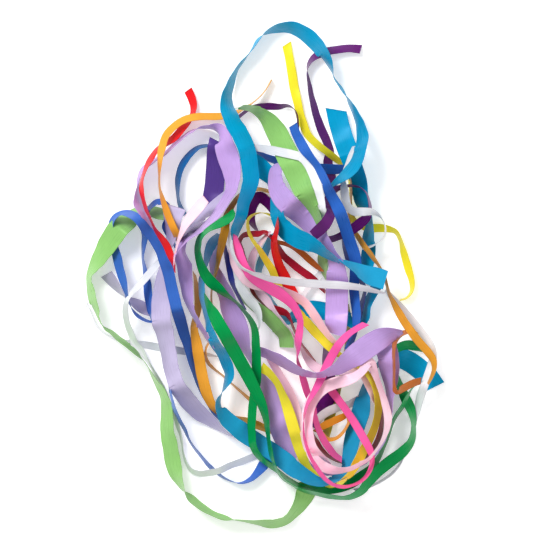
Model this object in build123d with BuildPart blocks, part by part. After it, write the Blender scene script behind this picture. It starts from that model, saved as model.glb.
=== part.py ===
from build123d import *

import os

import numpy as np

# A loose heap of satin ribbons lying on a table. +Z is up, Z 0 is the table, millimetres.

THICKNESS = 0.6          # of the solid that stands for a ribbon
STATION_STEP = 3.0       # spacing of the stations that carry a ribbon's place and twist
SECTION_EVERY = 3        # stations from one section of a solid to the next
CELL = 3.0               # side of the plan cells in which crossings are found
GAP = 3.0                # clear height between ribbons that cross
ON_EDGE = 0.17           # seen share of the width under which a ribbon stands on its edge and turns over
PLAN_REACH = 400.0       # every route lies within this distance of the origin
ROUNDS = 260             # relaxation rounds that settle the heap
LAST_ROUNDS = 8          # closing rounds, in which ribbons only lift
SINK = 0.15              # how far a free stretch drops in a round
STIFFNESS = 6            # smoothings of the heights in a round

# name: (colour, width, [(x, y, level, seen width), ...]). A higher level lies above a lower one where
# two ribbons cross. The seen width is the ribbon's width from above, so it says how far the ribbon tilts.
RIBBONS = {
    "turquoise_loop": ("turquoise", 22, [
        (-33, 36, 8, 5), (-31, 43, 9, 6), (-29, 50, 12, 9), (-26, 60, 14, 10), (-23.5, 70, 14, 11), (-21, 80, 13, 12),
        (-17.5, 90, 12, 15), (-15, 100, 12, 17), (-15.5, 112, 12, 18), (-18, 128, 12, 18), (-22, 140, 12, 18),
        (-27, 150, 12, 18), (-33, 160, 12, 17), (-37, 170, 12, 16), (-40, 180, 12, 13), (-40, 190, 12, 10),
        (-37, 200, 12, 8), (-33, 212, 12, 5), (-28, 221, 12, 2), (-20, 231, 12, 1), (-13, 241, 12, 3), (-7, 250, 12, 4),
        (1, 257, 12, 3), (15, 262, 12, 8), (31, 262, 12, 12), (47, 252, 12, 15), (60, 237, 12, 12), (69, 221, 12, 3),
        (74, 208, 12, 2), (81, 198, 12, 4), (89, 184, 12, 3), (97, 168, 12, 6), (101, 155, 12, 9), (102, 143, 12, 10),
        (100, 130, 12, 11), (95, 117, 12, 13), (87, 107, 12, 12), (79, 100, 12, 9), (71, 92, 11, 4)]),
    "turquoise_cross": ("turquoise", 22, [
        (-18, 126, 8, 16), (-10, 119, 8, 18), (-1, 111, 9, 19), (8, 103, 9, 16), (12, 90, 6, 12), (12, 76, 7, 12),
        (14, 60, 10, 14), (22, 47, 11, 18), (33, 39, 11, 19), (45, 34, 11, 17), (55, 29, 11, 13), (64, 23, 12, 8),
        (72, 18, 13, 4), (80, 13, 13, 3), (90, 8.5, 13, 6), (100, 3.5, 13, 14), (110, -0.5, 14, 20), (119, -3, 14, 21),
        (127, -5.5, 14, 20)]),
    "turquoise_under": ("turquoise", 22, [
        (120, -9, 6, 12), (113, -22, 6, 9), (107.5, -34, 6, 8), (105, -45, 6, 11), (96, -50, 5, 12), (84, -45, 5, 14),
        (70, -40, 5, 18), (55, -37, 5, 19), (42, -37, 5, 17), (31, -44, 5, 12), (23, -48, 5, 9), (14, -40, 4, 8),
        (6, -26, 4, 5), (-2, -12, 4, 5), (-7, 1, 5, 6), (-5, 12, 5, 8), (0, 24, 5, 9), (5, 36, 5, 8), (9, 45, 5, 5)]),
    "turquoise_end": ("turquoise", 22, [
        (75.5, 176, 5, 21), (79, 160, 5, 21), (84, 143, 5, 21), (90, 125, 5, 20), (96, 109, 5, 18), (100, 95, 5, 17),
        (101, 85, 5, 16), (104, 74, 5, 13), (109, 66, 5, 8), (111, 57, 5, 5), (111, 48, 5, 8), (110, 39, 5, 12),
        (110.5, 30, 5, 13), (109.5, 20, 5, 15), (108, 11, 5, 14), (106, 3, 5, 12)]),
    "yellow_top": ("yellow", 10, [
        (23, 246, 7, 10), (26, 230, 7, 9), (29, 213, 7, 10), (31, 200, 7, 10), (35, 182, 7, 9), (37.5, 170, 7, 9),
        (41, 160, 7, 9), (45, 150, 7, 8), (54, 140, 8, 7), (65, 131, 8, 7), (77, 122, 6, 6), (85, 115, 3.4, 5),
        (90, 104, 3, 4), (91, 90, 3, 3), (91, 75, 3, 3), (93, 60, 3, 6), (102, 53, 3, 7), (112, 50, 3, 9),
        (122, 50, 3, 9), (131, 49, 4, 7), (139, 46, 4, 4), (144, 37, 4, 3), (147.5, 24, 4, 7), (152, 8, 4, 8),
        (156, -6, 5, 6), (156, -17, 6, 3), (151, -24, 7, 2), (143, -27, 7, 1.5)]),
    "purple_top": ("plum", 13, [
        (102, 240, 7, 10), (90, 241, 7, 9), (75, 239.5, 7, 9), (64, 237, 7, 9), (53, 232, 7, 8), (47, 225, 7, 4),
        (45, 218, 7, 1.5), (46, 209, 7, 3), (47.5, 200, 7, 5), (49.5, 190, 7, 6), (52, 180, 7, 7.5), (54.5, 170, 7, 8),
        (58, 160, 7, 9), (62, 150, 7, 10), (66, 141, 7, 9), (69, 131, 6, 9), (67, 120, 5, 10), (69, 108, 5, 11),
        (71, 96, 5, 8), (68, 84, 5, 5), (67, 74, 7, 6), (69, 66, 12.6, 8), (65, 56, 13, 12), (58, 48, 13, 12),
        (50, 41, 10, 11)]),
    "purple_arch": ("plum", 10, [
        (-29, 167, 6, 3), (-23, 172, 6, 3), (-16, 177, 7, 3), (-8, 179, 8, 6), (4, 179.5, 8, 7), (15, 179, 8, 6),
        (22, 180, 8, 3), (27, 179, 8, 1.5), (32, 175, 8, 1.5), (34.5, 168, 8, 2), (35, 160, 8, 2), (35, 152, 8, 3),
        (36, 144, 8, 3)]),
    "blue_top": ("blue", 13, [
        (29.5, 157, 15, 9), (32, 149, 15, 9), (36.5, 140, 15.5, 10), (41.5, 131, 16, 10), (48, 122, 16, 8), (54, 114, 14, 7),
        (59, 105, 13, 7), (64, 95, 13, 8), (68, 85, 13, 10), (73, 76, 12, 12), (78, 66, 12, 13), (82, 56, 12, 13),
        (86, 45, 12, 12.5), (90, 33, 12, 12.5), (94, 22, 11, 13), (96, 11, 10, 12), (95, 0, 9, 11), (94, -12, 8, 10),
        (95, -25, 8, 10), (96.5, -38, 8, 9), (96.5, -50, 8, 7), (94, -60, 8, 6), (91, -69, 8, 7), (87, -79, 8, 6)]),
    "navy_right": ("navy", 13, [
        (83, 38, 6, 2), (85, 28, 7, 4), (88.5, 18, 7, 7), (94, 7, 6, 8), (101, -4, 6, 6), (106, -14, 6, 3),
        (105, -22, 6, 3), (102, -32, 6, 5), (99, -43, 6, 6), (96, -53, 6, 5)]),
    "lightgreen_top": ("lightgreen", 25, [
        (-27, 177, 9, 2), (-20, 177, 9, 4), (-11, 175, 9, 7), (-2, 169, 11, 12), (6, 160, 13, 19), (13, 149, 13, 22),
        (19, 136, 13, 23), (25, 123, 13, 24), (31, 110, 13, 23), (37, 97, 13, 21), (43, 84, 13, 18), (49, 73, 11.5, 13),
        (54, 64, 11, 9), (57, 57.5, 10.8, 6), (59.5, 51, 10.6, 4)]),
"lightgreen_low": ("lightgreen", 25, [
        (60, 46, 6, 3), (61.5, 35, 6, 4), (63, 26, 6, 9), (61, 17, 6, 12), (63, 8, 6, 8), (65.5, -3, 6, 3)]),
    "white_top": ("white", 10, [
        (-14, 136, 10, 6), (-6, 134, 13, 7), (5, 132, 14, 8), (17, 129, 14, 8.5), (29, 126, 14, 9), (38, 123, 15, 8),
        (45, 115, 15, 8), (50, 106, 14, 9.5), (54, 95, 14, 9.5), (57, 84, 13, 8.5), (59.5, 74, 12, 7), (60.5, 65, 10, 5),
        (61, 56, 7, 3), (64, 42, 4, 2), (67, 26, 4, 2), (66, 13, 4, 4), (60, 2, 4, 8), (53, -6, 4, 8),
        (46, -14, 4, 6), (41, -22, 4, 5), (38, -29, 4, 4)]),
    "blue_under": ("blue", 13, [
        (-17, 133, 5, 5), (-8, 130, 6, 4), (1, 125.5, 7, 6), (11, 122, 8, 8), (24, 118, 8, 9), (38, 115, 8, 9),
        (52, 113, 8, 10), (63, 112.5, 7, 10), (74, 112, 6, 10), (84, 112, 6, 9)]),
    "lavender_arch": ("lavender", 25, [
        (-108, 37, 6, 1), (-113, 43, 6, 2), (-118, 50, 6, 5), (-125, 60, 6, 8), (-130, 70, 6, 8), (-133, 80, 7, 4),
        (-134, 91, 7, 2.5), (-133.5, 102, 7, 4), (-130, 112, 7, 6), (-121, 119, 7, 5), (-108, 128, 7, 5),
        (-92, 142, 7, 5), (-77, 153, 8, 4), (-62, 156.5, 9, 2), (-51, 154, 10, 5), (-45, 146, 11, 14),
        (-42, 135, 11, 22), (-38, 122, 11, 23), (-35, 110, 11, 20), (-34, 99, 11, 15), (-36, 89, 11, 11),
        (-41, 79, 12, 10), (-47, 69, 12, 9), (-54, 60, 12, 8), (-63, 51, 11, 6), (-72, 43, 10, 4),
        (-82, 35, 10, 3), (-90, 26, 9, 2)]),
    "lilac_fold": ("lilac", 22, [
        (-33, 93, 7, 6), (-40, 85, 9, 11), (-48, 78, 10, 12), (-57, 70, 10, 12), (-66, 62, 10, 10), (-74, 54, 10, 7),
        (-81, 46, 10, 4), (-88, 37, 9, 2)]),
    "lavender_inner": ("lavender", 25, [
        (-55, 62, 9, 1), (-65, 55, 9, 5), (-75, 48, 9, 7), (-83, 40, 9, 8), (-87, 30, 8, 9), (-87, 20, 8, 13),
        (-85, 9, 8, 16), (-84, -3, 8, 15), (-82.5, -14, 8, 13), (-81, -24, 9, 11), (-78.5, -34, 9, 8), (-75, -42, 9, 5),
        (-71, -49, 9, 6), (-66, -58, 8, 6), (-61, -67, 8, 4), (-56, -75, 7, 2)]),
    "violet_back": ("violet", 22, [
        (-50, 142, 8, 18), (-51, 130, 8, 21), (-52, 118, 8, 21), (-53, 106, 8, 21), (-54, 94, 8, 21), (-56, 83, 8, 21),
        (-59, 73, 7, 18)]),
    "red_left": ("red", 10, [
        (-82, 197, 8, 9), (-78, 188, 8, 9), (-76, 180, 8, 8), (-77, 172, 7, 5), (-81, 164, 7, 6), (-87, 157, 8, 8),
        (-96, 146, 8, 8), (-105, 139, 7, 6), (-114, 133, 8, 5), (-121, 122, 8, 6), (-126, 111, 8, 4), (-129.5, 100, 8, 3),
        (-130, 90, 8, 6), (-128, 80, 9, 4), (-124.5, 69, 9, 3), (-120, 59, 9, 2), (-115.5, 49, 9, 3), (-109, 40, 10, 6),
        (-103, 31, 10, 8), (-99, 21, 10, 8), (-96, 12, 10, 4), (-94.5, 3, 10, 1.5)]),
    "orange_arch": ("orange", 10, [
        (7, 208, 7, 1.5), (0, 196, 7, 1.5), (-8, 187, 7, 1.5), (-17, 180, 7, 2), (-27, 174, 7, 4), (-38, 170, 8, 7),
        (-50, 168.5, 9, 8), (-70, 168, 9, 8), (-85, 165, 9, 8), (-97, 157, 9, 8), (-105, 147, 9, 8), (-109, 133, 9, 8),
        (-111, 118, 9, 5), (-111.5, 103, 9, 2), (-111, 92, 9, 2), (-108, 80, 9, 5), (-103, 66, 9, 7), (-97, 52, 9, 8),
        (-92, 41, 8, 7), (-90, 31, 8, 4), (-93, 20, 7, 2)]),
    "teal_arch": ("teal", 13, [
        (-54, 137, 5, 4), (-62, 137.5, 6, 4), (-70, 136, 7, 5), (-80, 128, 7, 7), (-88, 117, 7, 8), (-92, 105, 7, 7),
        (-93, 93, 7, 5), (-92.5, 82, 6, 2.5), (-90, 73, 5, 5), (-85, 64, 4, 4)]),
    "lightgreen_left": ("lightgreen", 25, [
        (-101, 60, 2, 8), (-112, 65, 2, 13), (-124, 68, 2, 11), (-136, 66, 3, 12), (-147, 57, 4, 21), (-158, 45, 4, 23),
        (-168, 31, 4, 21), (-176, 18, 4, 17), (-182, 8, 4, 12), (-186.5, -2, 4, 6), (-186, -13, 4, 9),
        (-182.5, -25, 4, 10), (-179, -36, 4, 7), (-176, -46, 4, 2.5), (-171, -54, 4, 1.5), (-162, -61, 4, 2),
        (-152, -69, 4, 5), (-142, -77, 4, 4), (-132, -86, 4, 2), (-124, -97, 4, 2), (-116, -112, 3, 5),
        (-109, -124, 3, 9), (-105, -136, 3, 12), (-104, -150, 3, 14), (-104, -165, 3, 15), (-101, -180, 3, 17),
        (-99, -193, 3, 18), (-96, -206, 3, 17), (-91, -219, 3, 10), (-85, -230, 3, 4), (-76, -239, 3, 6),
        (-61, -250, 3, 5), (-43, -257.5, 3, 3), (-22, -261, 3, 4), (-5, -263, 3, 8), (10, -264, 3, 12),
        (23, -260, 3, 11), (32, -251, 2, 12), (38, -242, 2, 17), (43, -232, 1, 21), (47, -221, 1, 21)]),
    "blue_left": ("blue", 13, [
        (-112, -50, 4, 2), (-124, -48.5, 4, 2), (-133, -44, 4, 3), (-139.5, -37, 4, 2), (-143.5, -29, 4, 2),
        (-146, -20, 4, 4), (-149, -8, 4, 8), (-153, 4, 4, 9), (-156, 16, 4, 10), (-160, 30, 3, 9), (-163, 43, 2, 6),
        (-162.5, 54, 2, 5), (-157, 62, 3, 5), (-148, 65.5, 5, 3), (-139, 63, 7, 6), (-131, 56, 8, 8), (-124, 47, 9, 10),
        (-117, 39, 9, 11), (-110, 27, 9, 11), (-105, 14, 9, 12), (-101, 1, 9, 12), (-98, -13, 9, 12),
        (-94, -29, 9, 12), (-90, -45, 8, 12), (-86, -61, 7, 11), (-81, -78, 6, 9), (-77, -95, 6, 6),
        (-73, -110, 6, 4), (-68, -123, 5, 3), (-61, -135, 5, 4), (-55, -144, 5, 5), (-48, -152, 5, 4)]),
    "blue_low": ("blue", 13, [
        (-95, 29, 5, 2), (-98, 36, 5, 3), (-103, 44, 5, 4), (-105.5, 54, 5, 3), (-101, 64, 4, 4), (-104, 74, 4, 6),
        (-113, 77.5, 4, 7), (-121, 72, 4, 5), (-127, 61, 4, 4), (-129, 50, 4, 4), (-127.5, 41, 4, 7), (-129, 30, 4, 5),
        (-130, 20, 4, 2.5), (-128.5, 10, 4, 3.5), (-127, 1, 4, 6), (-125, -9, 4, 9), (-124, -19, 4, 9),
        (-122.5, -29, 4, 7), (-121, -39, 4, 5), (-118, -50, 3, 3), (-112, -70, 3, 3), (-106, -93, 3, 3),
        (-101.5, -112, 3, 2.5), (-99, -127, 3, 2.5), (-94, -145, 3, 4), (-86, -162, 3, 4), (-79, -178, 3, 2.5),
        (-70, -190, 3, 3.5), (-59, -203, 2, 5), (-49, -212, 2, 4), (-38, -218.5, 2, 2.5), (-26, -221, 2, 1.5),
        (-16, -217.5, 2, 4), (-8, -210, 2, 8), (-1, -201, 3, 12), (5, -192, 4, 11), (10, -182, 4, 8)]),
    "lilac_end": ("lilac", 22, [
        (-168.5, 1, 3, 14), (-162, -7, 3, 12), (-154, -16, 3, 7), (-147, -24, 3, 2), (-140, -28.5, 3, 8),
        (-133, -33, 3, 13), (-125, -37, 3, 12), (-116, -42, 3, 8)]),
    "white_left": ("white", 10, [
        (-108, 19, 6, 5), (-114, 12, 6, 7), (-121, 3, 6, 8), (-128, -5, 6, 8), (-135, -14, 6, 6), (-141, -21, 6, 3),
        (-145, -28, 6, 4), (-147, -38, 5, 6), (-146, -50, 4, 6), (-142, -62, 4, 7), (-138, -72, 4, 8),
        (-132, -80, 3, 8), (-127, -88, 3, 4), (-121, -98, 3, 3), (-115, -108, 2, 4), (-108, -120, 1, 4),
        (-102, -135, 1, 4), (-97, -148, 1, 4), (-93, -160, 2, 5), (-89, -173, 2, 3), (-87, -188, 2, 2),
        (-84, -199, 2, 3), (-79, -207, 3, 5), (-70, -211, 3, 7), (-60, -210, 3, 7), (-48, -207, 3, 7),
        (-36, -202, 3, 7), (-24, -198, 3, 8), (-12, -193, 3, 8), (-2, -188, 3, 7)]),
    "white_left_low": ("white", 10, [
        (-190, -32, 2, 5), (-186, -42, 2, 5), (-180, -53, 2, 3), (-172, -61, 2, 2), (-164, -66, 1, 2),
        (-152, -70, 1, 4), (-140, -72, 2, 6), (-126, -74.5, 2, 8), (-113, -77, 2, 8), (-100, -79, 2, 8),
        (-88, -81, 2, 8), (-74, -83, 2, 6), (-62, -84.5, 2, 4), (-50, -87, 2, 2)]),
    "lavender_left": ("lilac", 25, [
        (-94, 72, 6, 23), (-97, 60, 6, 20), (-99, 47, 6, 13), (-101, 33, 6, 8), (-105, 18, 6, 6), (-108, 5, 7, 9),
        (-109.5, -8, 7, 14), (-110, -20, 7, 18), (-109.5, -33, 7, 20), (-108, -50, 7, 20), (-104, -68, 7, 18),
        (-101, -85, 7, 17), (-98, -100, 7, 17), (-93, -113, 7, 16), (-86, -126, 7, 17), (-77, -138, 7, 18),
        (-67, -148, 7, 17), (-56, -157, 7, 12), (-45, -165, 7, 6), (-33, -171.5, 7, 2)]),
    "pink_left": ("lightpink", 13, [
        (-62, 80, 11.6, 10), (-68, 73, 11.6, 12), (-76, 63, 11.6, 11), (-83, 52, 11.8, 8), (-88, 41, 11.8, 4.5),
        (-91.5, 30, 11.8, 2.5), (-94, 20, 11, 1.5), (-95, 9, 11, 1)]),
    "green_inner": ("emerald", 13, [
        (-32, 67, 11, 5), (-38, 60, 13, 9), (-46, 54, 14, 9), (-55, 49, 14, 6), (-62, 44, 14, 4), (-67, 38, 14, 5),
        (-70, 28, 14, 6), (-69, 18, 14, 7), (-66, 8, 14, 9), (-62, 0, 14, 11), (-56, -8, 14, 12), (-49, -14, 14, 10),
        (-42, -20, 14, 6), (-34, -26, 14, 3), (-27, -32, 14, 3), (-21, -39, 14, 4), (-16, -46, 14, 5),
        (-12, -54, 14, 7), (-10, -64, 14, 8), (-9.5, -75, 14, 9), (-9, -87, 13, 9.5), (-9, -100, 13, 10),
        (-9.5, -112, 12, 10), (-11, -124, 12, 9), (-13, -138, 12, 9), (-14, -152, 12, 9), (-14, -166, 12, 8),
        (-13, -178, 11, 8), (-9, -188, 11.6, 7), (-2, -196, 11.6, 6), (6, -202, 8.5, 6), (15, -209, 7, 5), (24, -216, 7, 5),
        (34, -222, 7, 6), (46, -226, 6, 8), (58, -228, 6, 10), (70, -227.5, 6, 11), (82, -225, 6, 12),
        (94, -220, 6, 12), (104, -213, 6, 11), (112, -206, 6, 9), (118, -198, 6, 7), (123, -190, 5, 5),
        (127, -180, 5, 5), (131, -170, 5, 5), (135, -158, 5, 4), (140, -148, 5, 4), (146, -138, 5, 5),
        (151, -129, 4, 4), (156, -121, 3, 2), (160, -117, 3, 1)]),
    "green_outer": ("emerald", 15, [
        (-63, -22, 12, 3), (-59, -31, 12, 7), (-54, -40, 12.5, 12), (-48, -51, 13, 14), (-41, -63, 15, 14), (-34, -76, 15, 14),
        (-27, -89, 15, 14), (-20, -102, 15, 14), (-14, -114, 15, 13), (-8, -126, 15, 12), (-3, -138, 15, 10),
        (0.5, -150, 15, 7), (2.5, -162, 14, 5), (4, -174, 13, 4), (6, -186, 12, 4), (9, -197, 11, 3), (14, -208, 10, 3),
        (20, -216, 9, 3), (30, -222.5, 8, 3), (42, -228, 8, 4), (55, -231.5, 8, 5), (68, -234.5, 8, 6),
        (80, -236.5, 8, 5), (92, -235, 8, 7), (102, -229, 8, 9), (109, -220, 8, 11), (117, -211, 8, 12),
        (126, -203, 8, 13), (136, -195, 8, 13), (146, -187, 7, 12), (153, -179, 7, 10), (156.5, -170, 7, 7),
        (157.5, -160, 6, 5), (156, -148, 5, 8), (152.5, -138, 4, 11), (148, -128, 3, 11), (143, -117, 3, 8),
        (138, -104, 3, 6), (135, -90, 3, 6), (139, -79, 4, 8), (149, -74.5, 5, 10), (161, -76, 5, 10), (171, -80, 5, 6)]),
    "turquoise_mid": ("turquoise", 22, [
        (-48, 43, 6, 8), (-56, 33, 7, 11), (-60, 24, 7, 9), (-62, 14, 7, 6), (-65, 4, 8, 5), (-67, -6, 9, 7),
        (-66.5, -18, 10, 7), (-64.5, -30, 10, 5), (-62, -42, 10, 4), (-59.5, -52, 10, 6), (-55, -63, 10, 8),
        (-50, -74, 10, 9), (-44, -85, 10, 11), (-39.5, -96, 10, 12), (-38, -106, 10, 10), (-41, -115, 10, 6),
        (-45, -124, 10, 2), (-48, -132, 10, 3), (-48, -140, 10, 7), (-43, -149, 10, 14), (-34, -158, 10, 17),
        (-24, -166, 10, 18), (-13, -174, 10, 18), (-2, -181, 10, 17), (9, -188, 10, 18), (20, -196, 10, 18),
        (31, -205, 10, 17), (42, -212, 10, 14), (52, -217, 10, 9), (62, -218.5, 9, 5), (72, -215, 9, 5),
        (81, -210, 9, 7), (87, -202, 8, 9), (89, -192, 7, 13), (91, -181, 7, 15), (94, -169, 7, 17), (98, -156, 7, 19),
        (102, -143, 6, 19), (104, -132, 5, 14), (105, -121, 5, 7), (109, -110, 5, 3), (115, -101, 5, 3),
        (124, -92, 4, 8), (136, -87, 3, 18), (149, -90, 3, 22), (162, -98, 3, 23), (173, -108, 3, 23),
        (181, -119, 3, 22)]),
    "orange_low": ("orange", 13, [
        (-75, 2, 5, 3), (-73, -11, 6, 5), (-71.5, -24, 7, 8), (-71.5, -36, 7, 8), (-74, -48, 7, 6), (-75, -57, 7, 8),
        (-73.5, -67, 8, 10), (-71.5, -78, 8, 12), (-69.5, -90, 8, 12), (-67.5, -102, 8, 12), (-65, -113, 8, 12),
        (-62, -124, 8, 12), (-58, -134, 8, 10), (-52, -143, 7, 7), (-42, -149, 6, 5), (-31, -152, 6, 5),
        (-20, -155, 6, 8), (-10, -159, 6, 9), (0, -163, 6, 8), (9, -167, 5, 7)]),
    "orange_mid": ("orange", 10, [
        (14, 86, 5, 3), (4, 89, 6, 4), (-7, 91, 7, 4), (-18, 89, 7, 4), (-27, 84, 8, 4), (-33, 76, 9, 5), (-38, 67, 10, 6),
        (-41, 57, 10, 8), (-42, 46, 10, 9), (-45, 34, 10, 8), (-48, 22, 9, 6), (-50, 12, 9, 4), (-53, 1, 8, 3),
        (-56, -12, 7, 2), (-57, -27, 6, 2), (-55, -41, 6, 2), (-54, -54, 6, 2), (-58, -68, 5, 2), (-63, -80, 5, 2),
        (-61, -92, 5, 4), (-54, -100, 5, 3), (-45, -107, 5, 2), (-36, -115, 5, 2), (-27, -123, 5, 3), (-18, -131, 5, 4),
        (-8, -138, 5, 4)]),
    "lavender_mid": ("lavender", 25, [
        (-50, 36, 5, 3), (-53, 24, 6, 6), (-55, 13, 6, 9), (-52, 2, 7, 12), (-47, -9, 7, 15), (-41, -22, 7, 17),
        (-37, -36, 7, 20), (-31, -50, 7, 22), (-26, -62, 7, 20), (-22, -73, 7, 14), (-18, -84, 7, 7), (-12, -95, 7, 5),
        (-5, -106, 7, 8), (2, -117, 7, 14), (7, -129, 7, 19), (11, -142, 7, 22), (15, -156, 7, 24), (20, -170, 7, 24),
        (26, -183, 7, 22), (33, -195, 6, 18)]),
    "navy_mid": ("navy", 13, [
        (-43, 33, 6, 3), (-41, 22, 7, 5), (-38, 12, 8, 8), (-35.5, 2, 9, 8), (-34.5, -7, 9, 6), (-32, -15, 8, 3),
        (-27, -25, 8, 3), (-21, -36, 8, 2)]),
    "white_mid": ("white", 13, [
        (-33, 7, 9, 2), (-29.5, -3, 10, 5), (-26, -12, 10, 8), (-21, -20, 10, 9), (-15, -28, 10, 10), (-9, -36, 10, 9),
        (-6, -44, 10, 5), (-5, -51, 10, 3), (-6, -57, 10, 1.5)]),
    "lightgreen_end": ("lightgreen", 22, [
        (-37, -8, 4, 3), (-31, -16, 5, 4), (-24, -25, 6, 6), (-14, -32, 7, 9), (-5, -38, 8, 12), (3, -44, 8, 14),
        (10, -51, 8, 15), (17, -58, 8, 15), (22, -66, 8, 15), (23, -77, 8, 15)]),
    "hotpink_left": ("hotpink", 13, [
        (-31, 42, 9, 4), (-30, 35, 11, 7), (-28, 27, 12, 9), (-25, 17, 12, 9), (-20, 7, 12, 9), (-13, -1, 12, 10),
        (-4, -8, 12, 12), (6, -14, 12, 12), (16, -20, 12, 12), (26, -28, 12, 10), (33, -37, 12, 8), (37, -48, 12, 6),
        (36.5, -58, 12, 7), (35, -68, 12, 8), (34, -77, 12, 5), (33.5, -85, 12, 2), (35, -93, 12, 3), (38, -102, 11, 5),
        (41, -112, 11, 8), (44, -122, 11, 7), (48, -132, 10, 7), (51, -142, 10, 5), (53.5, -153, 11, 6),
        (57, -164, 11, 6), (62, -174, 10, 7), (68, -183, 10, 7), (74, -190, 9, 6), (81, -195, 9, 5)]),
    "pink_mid": ("lightpink", 13, [
        (-38, 25, 8, 1.5), (-34, 14, 9, 5), (-28, 3, 10, 7), (-20, -5, 10, 9), (-9, -11, 10, 9), (2, -13, 10, 8),
        (14, -15, 10, 8), (24, -19, 11, 8), (33, -23, 11, 9), (42, -29, 12, 9), (49, -38, 13, 9), (55, -47, 13, 9),
        (61, -56, 13, 8), (68, -65, 13, 6), (75, -72, 12, 4), (80, -79, 11, 2)]),
    "yellow_curl": ("yellow", 13, [
        (12, 54, 8, 4), (11, 60, 9, 4), (5, 64, 9, 2), (-3, 65.5, 9, 1.5), (-11, 64, 9, 1.5), (-17, 59, 9, 2.5),
        (-18, 52, 9, 3), (-16.5, 45, 9, 3), (-13, 37, 9, 3), (-8, 30, 9, 4), (-3, 22, 9, 6), (2, 14, 9, 7),
        (7, 6, 9, 8), (10, -1, 9, 8), (13, -9, 9, 8), (17, -16, 9, 7), (22, -23, 9, 6), (30, -33, 9, 6),
        (38, -43, 9, 8), (45, -51, 9, 9), (53, -60, 9, 10), (61, -68, 9, 10), (69, -76, 9, 10), (77, -83, 8, 6),
        (88, -90, 8, 3), (98, -95, 9, 4), (105, -101, 10, 5), (111, -108, 10, 6), (116, -117, 10, 7), (119, -129, 10, 8),
        (119.5, -142, 10, 8), (117.5, -155, 10, 8), (113.5, -167, 10, 9), (108, -178, 10, 9), (102, -188, 10, 10),
        (96.5, -198, 10, 10), (91, -207, 11, 8), (84, -214, 11, 5), (76, -221, 9, 3), (67, -222.5, 7.5, 3),
        (59, -216, 7.5, 6), (51, -207, 8, 9), (44, -199, 8, 11), (39, -189, 9, 12), (35, -178, 9, 12.5),
        (31, -165, 9, 12.5), (27, -151, 9, 12.5), (23, -138, 9, 11), (18, -125, 9, 8), (12, -113, 9, 7),
        (5, -104, 9, 8), (-4, -97, 9, 11)]),
    "red_mid": ("red", 13, [
        (14, 58, 12, 2), (12.5, 49, 12, 4), (10.5, 39, 12, 5), (10.5, 28, 11, 7), (13, 17, 10, 8), (17, 6, 10, 10),
        (21, -2, 9, 11), (25, -12, 8, 12), (31, -21, 8, 11), (37, -29, 7, 6)]),
    "crimson_inner": ("crimson", 10, [
        (64, -18, 5, 3), (57, -10, 6, 6), (48, -2, 8, 8), (38, 5, 8, 8), (29, 12, 8, 8), (20, 20, 8, 7), (14, 29, 7, 5),
        (8, 38, 7, 3), (1, 44, 7, 3), (-7, 43.5, 7, 6), (-16, 43.5, 8, 6), (-23, 42, 8, 5), (-27, 36, 8, 4),
        (-24.5, 26, 8, 5), (-21, 15, 8, 4), (-16, 4, 7, 3), (-14.5, -6, 7, 5), (-13, -15, 7, 7), (-8, -23, 7, 4),
        (-1, -30, 7, 3), (8, -35, 7, 7), (16, -38, 7, 9), (23, -41, 8, 6), (27, -48, 8, 2), (31, -58, 8, 2),
        (35, -67, 8, 2), (40, -75, 8, 2), (46, -83, 8, 3), (52, -91, 8, 3)]),
    "rust_mid": ("rust", 10, [
        (12, 35, 8, 4), (21, 33, 7, 3.5), (30, 29, 7, 4), (38, 24, 7, 6), (46, 17, 7, 7), (54, 10, 7, 6), (60, 4, 7, 3)]),
    "white_band": ("white", 10, [
        (-39, 52, 8, 2), (-37, 40, 10.6, 3), (-35.5, 29, 12.6, 3.5), (-31, 17, 13.6, 3), (-24, 8, 14, 2), (-15, 3, 14, 2.5),
        (-6, 0, 13, 4), (6, -4, 13, 6), (20, -6, 14, 7), (35, -8, 14, 8), (50, -9, 14, 8.5), (66, -10, 14, 8.5),
        (82, -11, 14, 8), (95, -12.5, 14, 7), (106, -14.5, 15, 6), (116, -17, 15, 4), (126, -19, 15, 2)]),
    "lavender_diag": ("lavender", 25, [
        (14, 118, 11, 8), (11, 109, 12, 13), (11, 98, 12, 16), (15, 86, 12, 19), (24, 75, 11, 20), (34, 66, 10, 19),
        (44, 57, 9, 18), (53, 48, 9, 17), (60, 38, 9, 14), (66, 29, 9, 10), (71, 20, 9, 11), (75, 10, 10, 17),
        (76, -2, 11, 21), (76, -15, 12, 23), (76, -28, 12, 23.5), (75.5, -41, 12, 24), (75, -53, 12, 23),
        (75, -63, 11, 15)]),
    "plum_arch": ("plum", 13, [
        (-8, 46, 6, 2), (-13, 54, 6, 6), (-16, 64, 6, 11), (-13, 76, 6, 12), (-6, 83, 6, 12), (2, 78, 6, 11),
        (9, 69, 6, 9), (15, 59, 6, 7), (27, 48, 5, 6), (42, 41, 5, 6), (57, 37, 5, 6), (70, 38, 6, 7), (79, 41, 7, 7),
        (88, 45, 8, 9), (95, 50, 8, 11), (102, 56, 8, 11), (108, 62, 7, 8), (110.5, 70, 7, 4), (109.5, 78, 7, 3),
        (107, 86, 7, 2), (101, 92, 7, 2), (92, 94, 7, 2), (83, 93, 7, 3), (75, 90, 7, 6), (68, 86, 7, 6)]),
    "white_right": ("white", 10, [
        (94, 136, 7, 3), (91, 128, 8, 4), (88, 119, 9, 5), (84, 109, 9, 4), (82, 100, 8, 4), (83.5, 91, 8, 8),
        (84.5, 82, 8, 9), (87, 73, 9, 8), (93, 67, 9, 8), (102, 66.5, 9, 9), (112, 66, 9, 7), (119, 63, 8, 2),
        (124, 58, 7, 1.5), (127, 51, 6, 2), (127, 44, 6, 2), (124, 38, 6, 1.5), (118, 33, 7, 1.5), (111, 30, 7, 2),
        (103, 28, 7, 2)]),
    "orange_right": ("orange", 10, [
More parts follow.
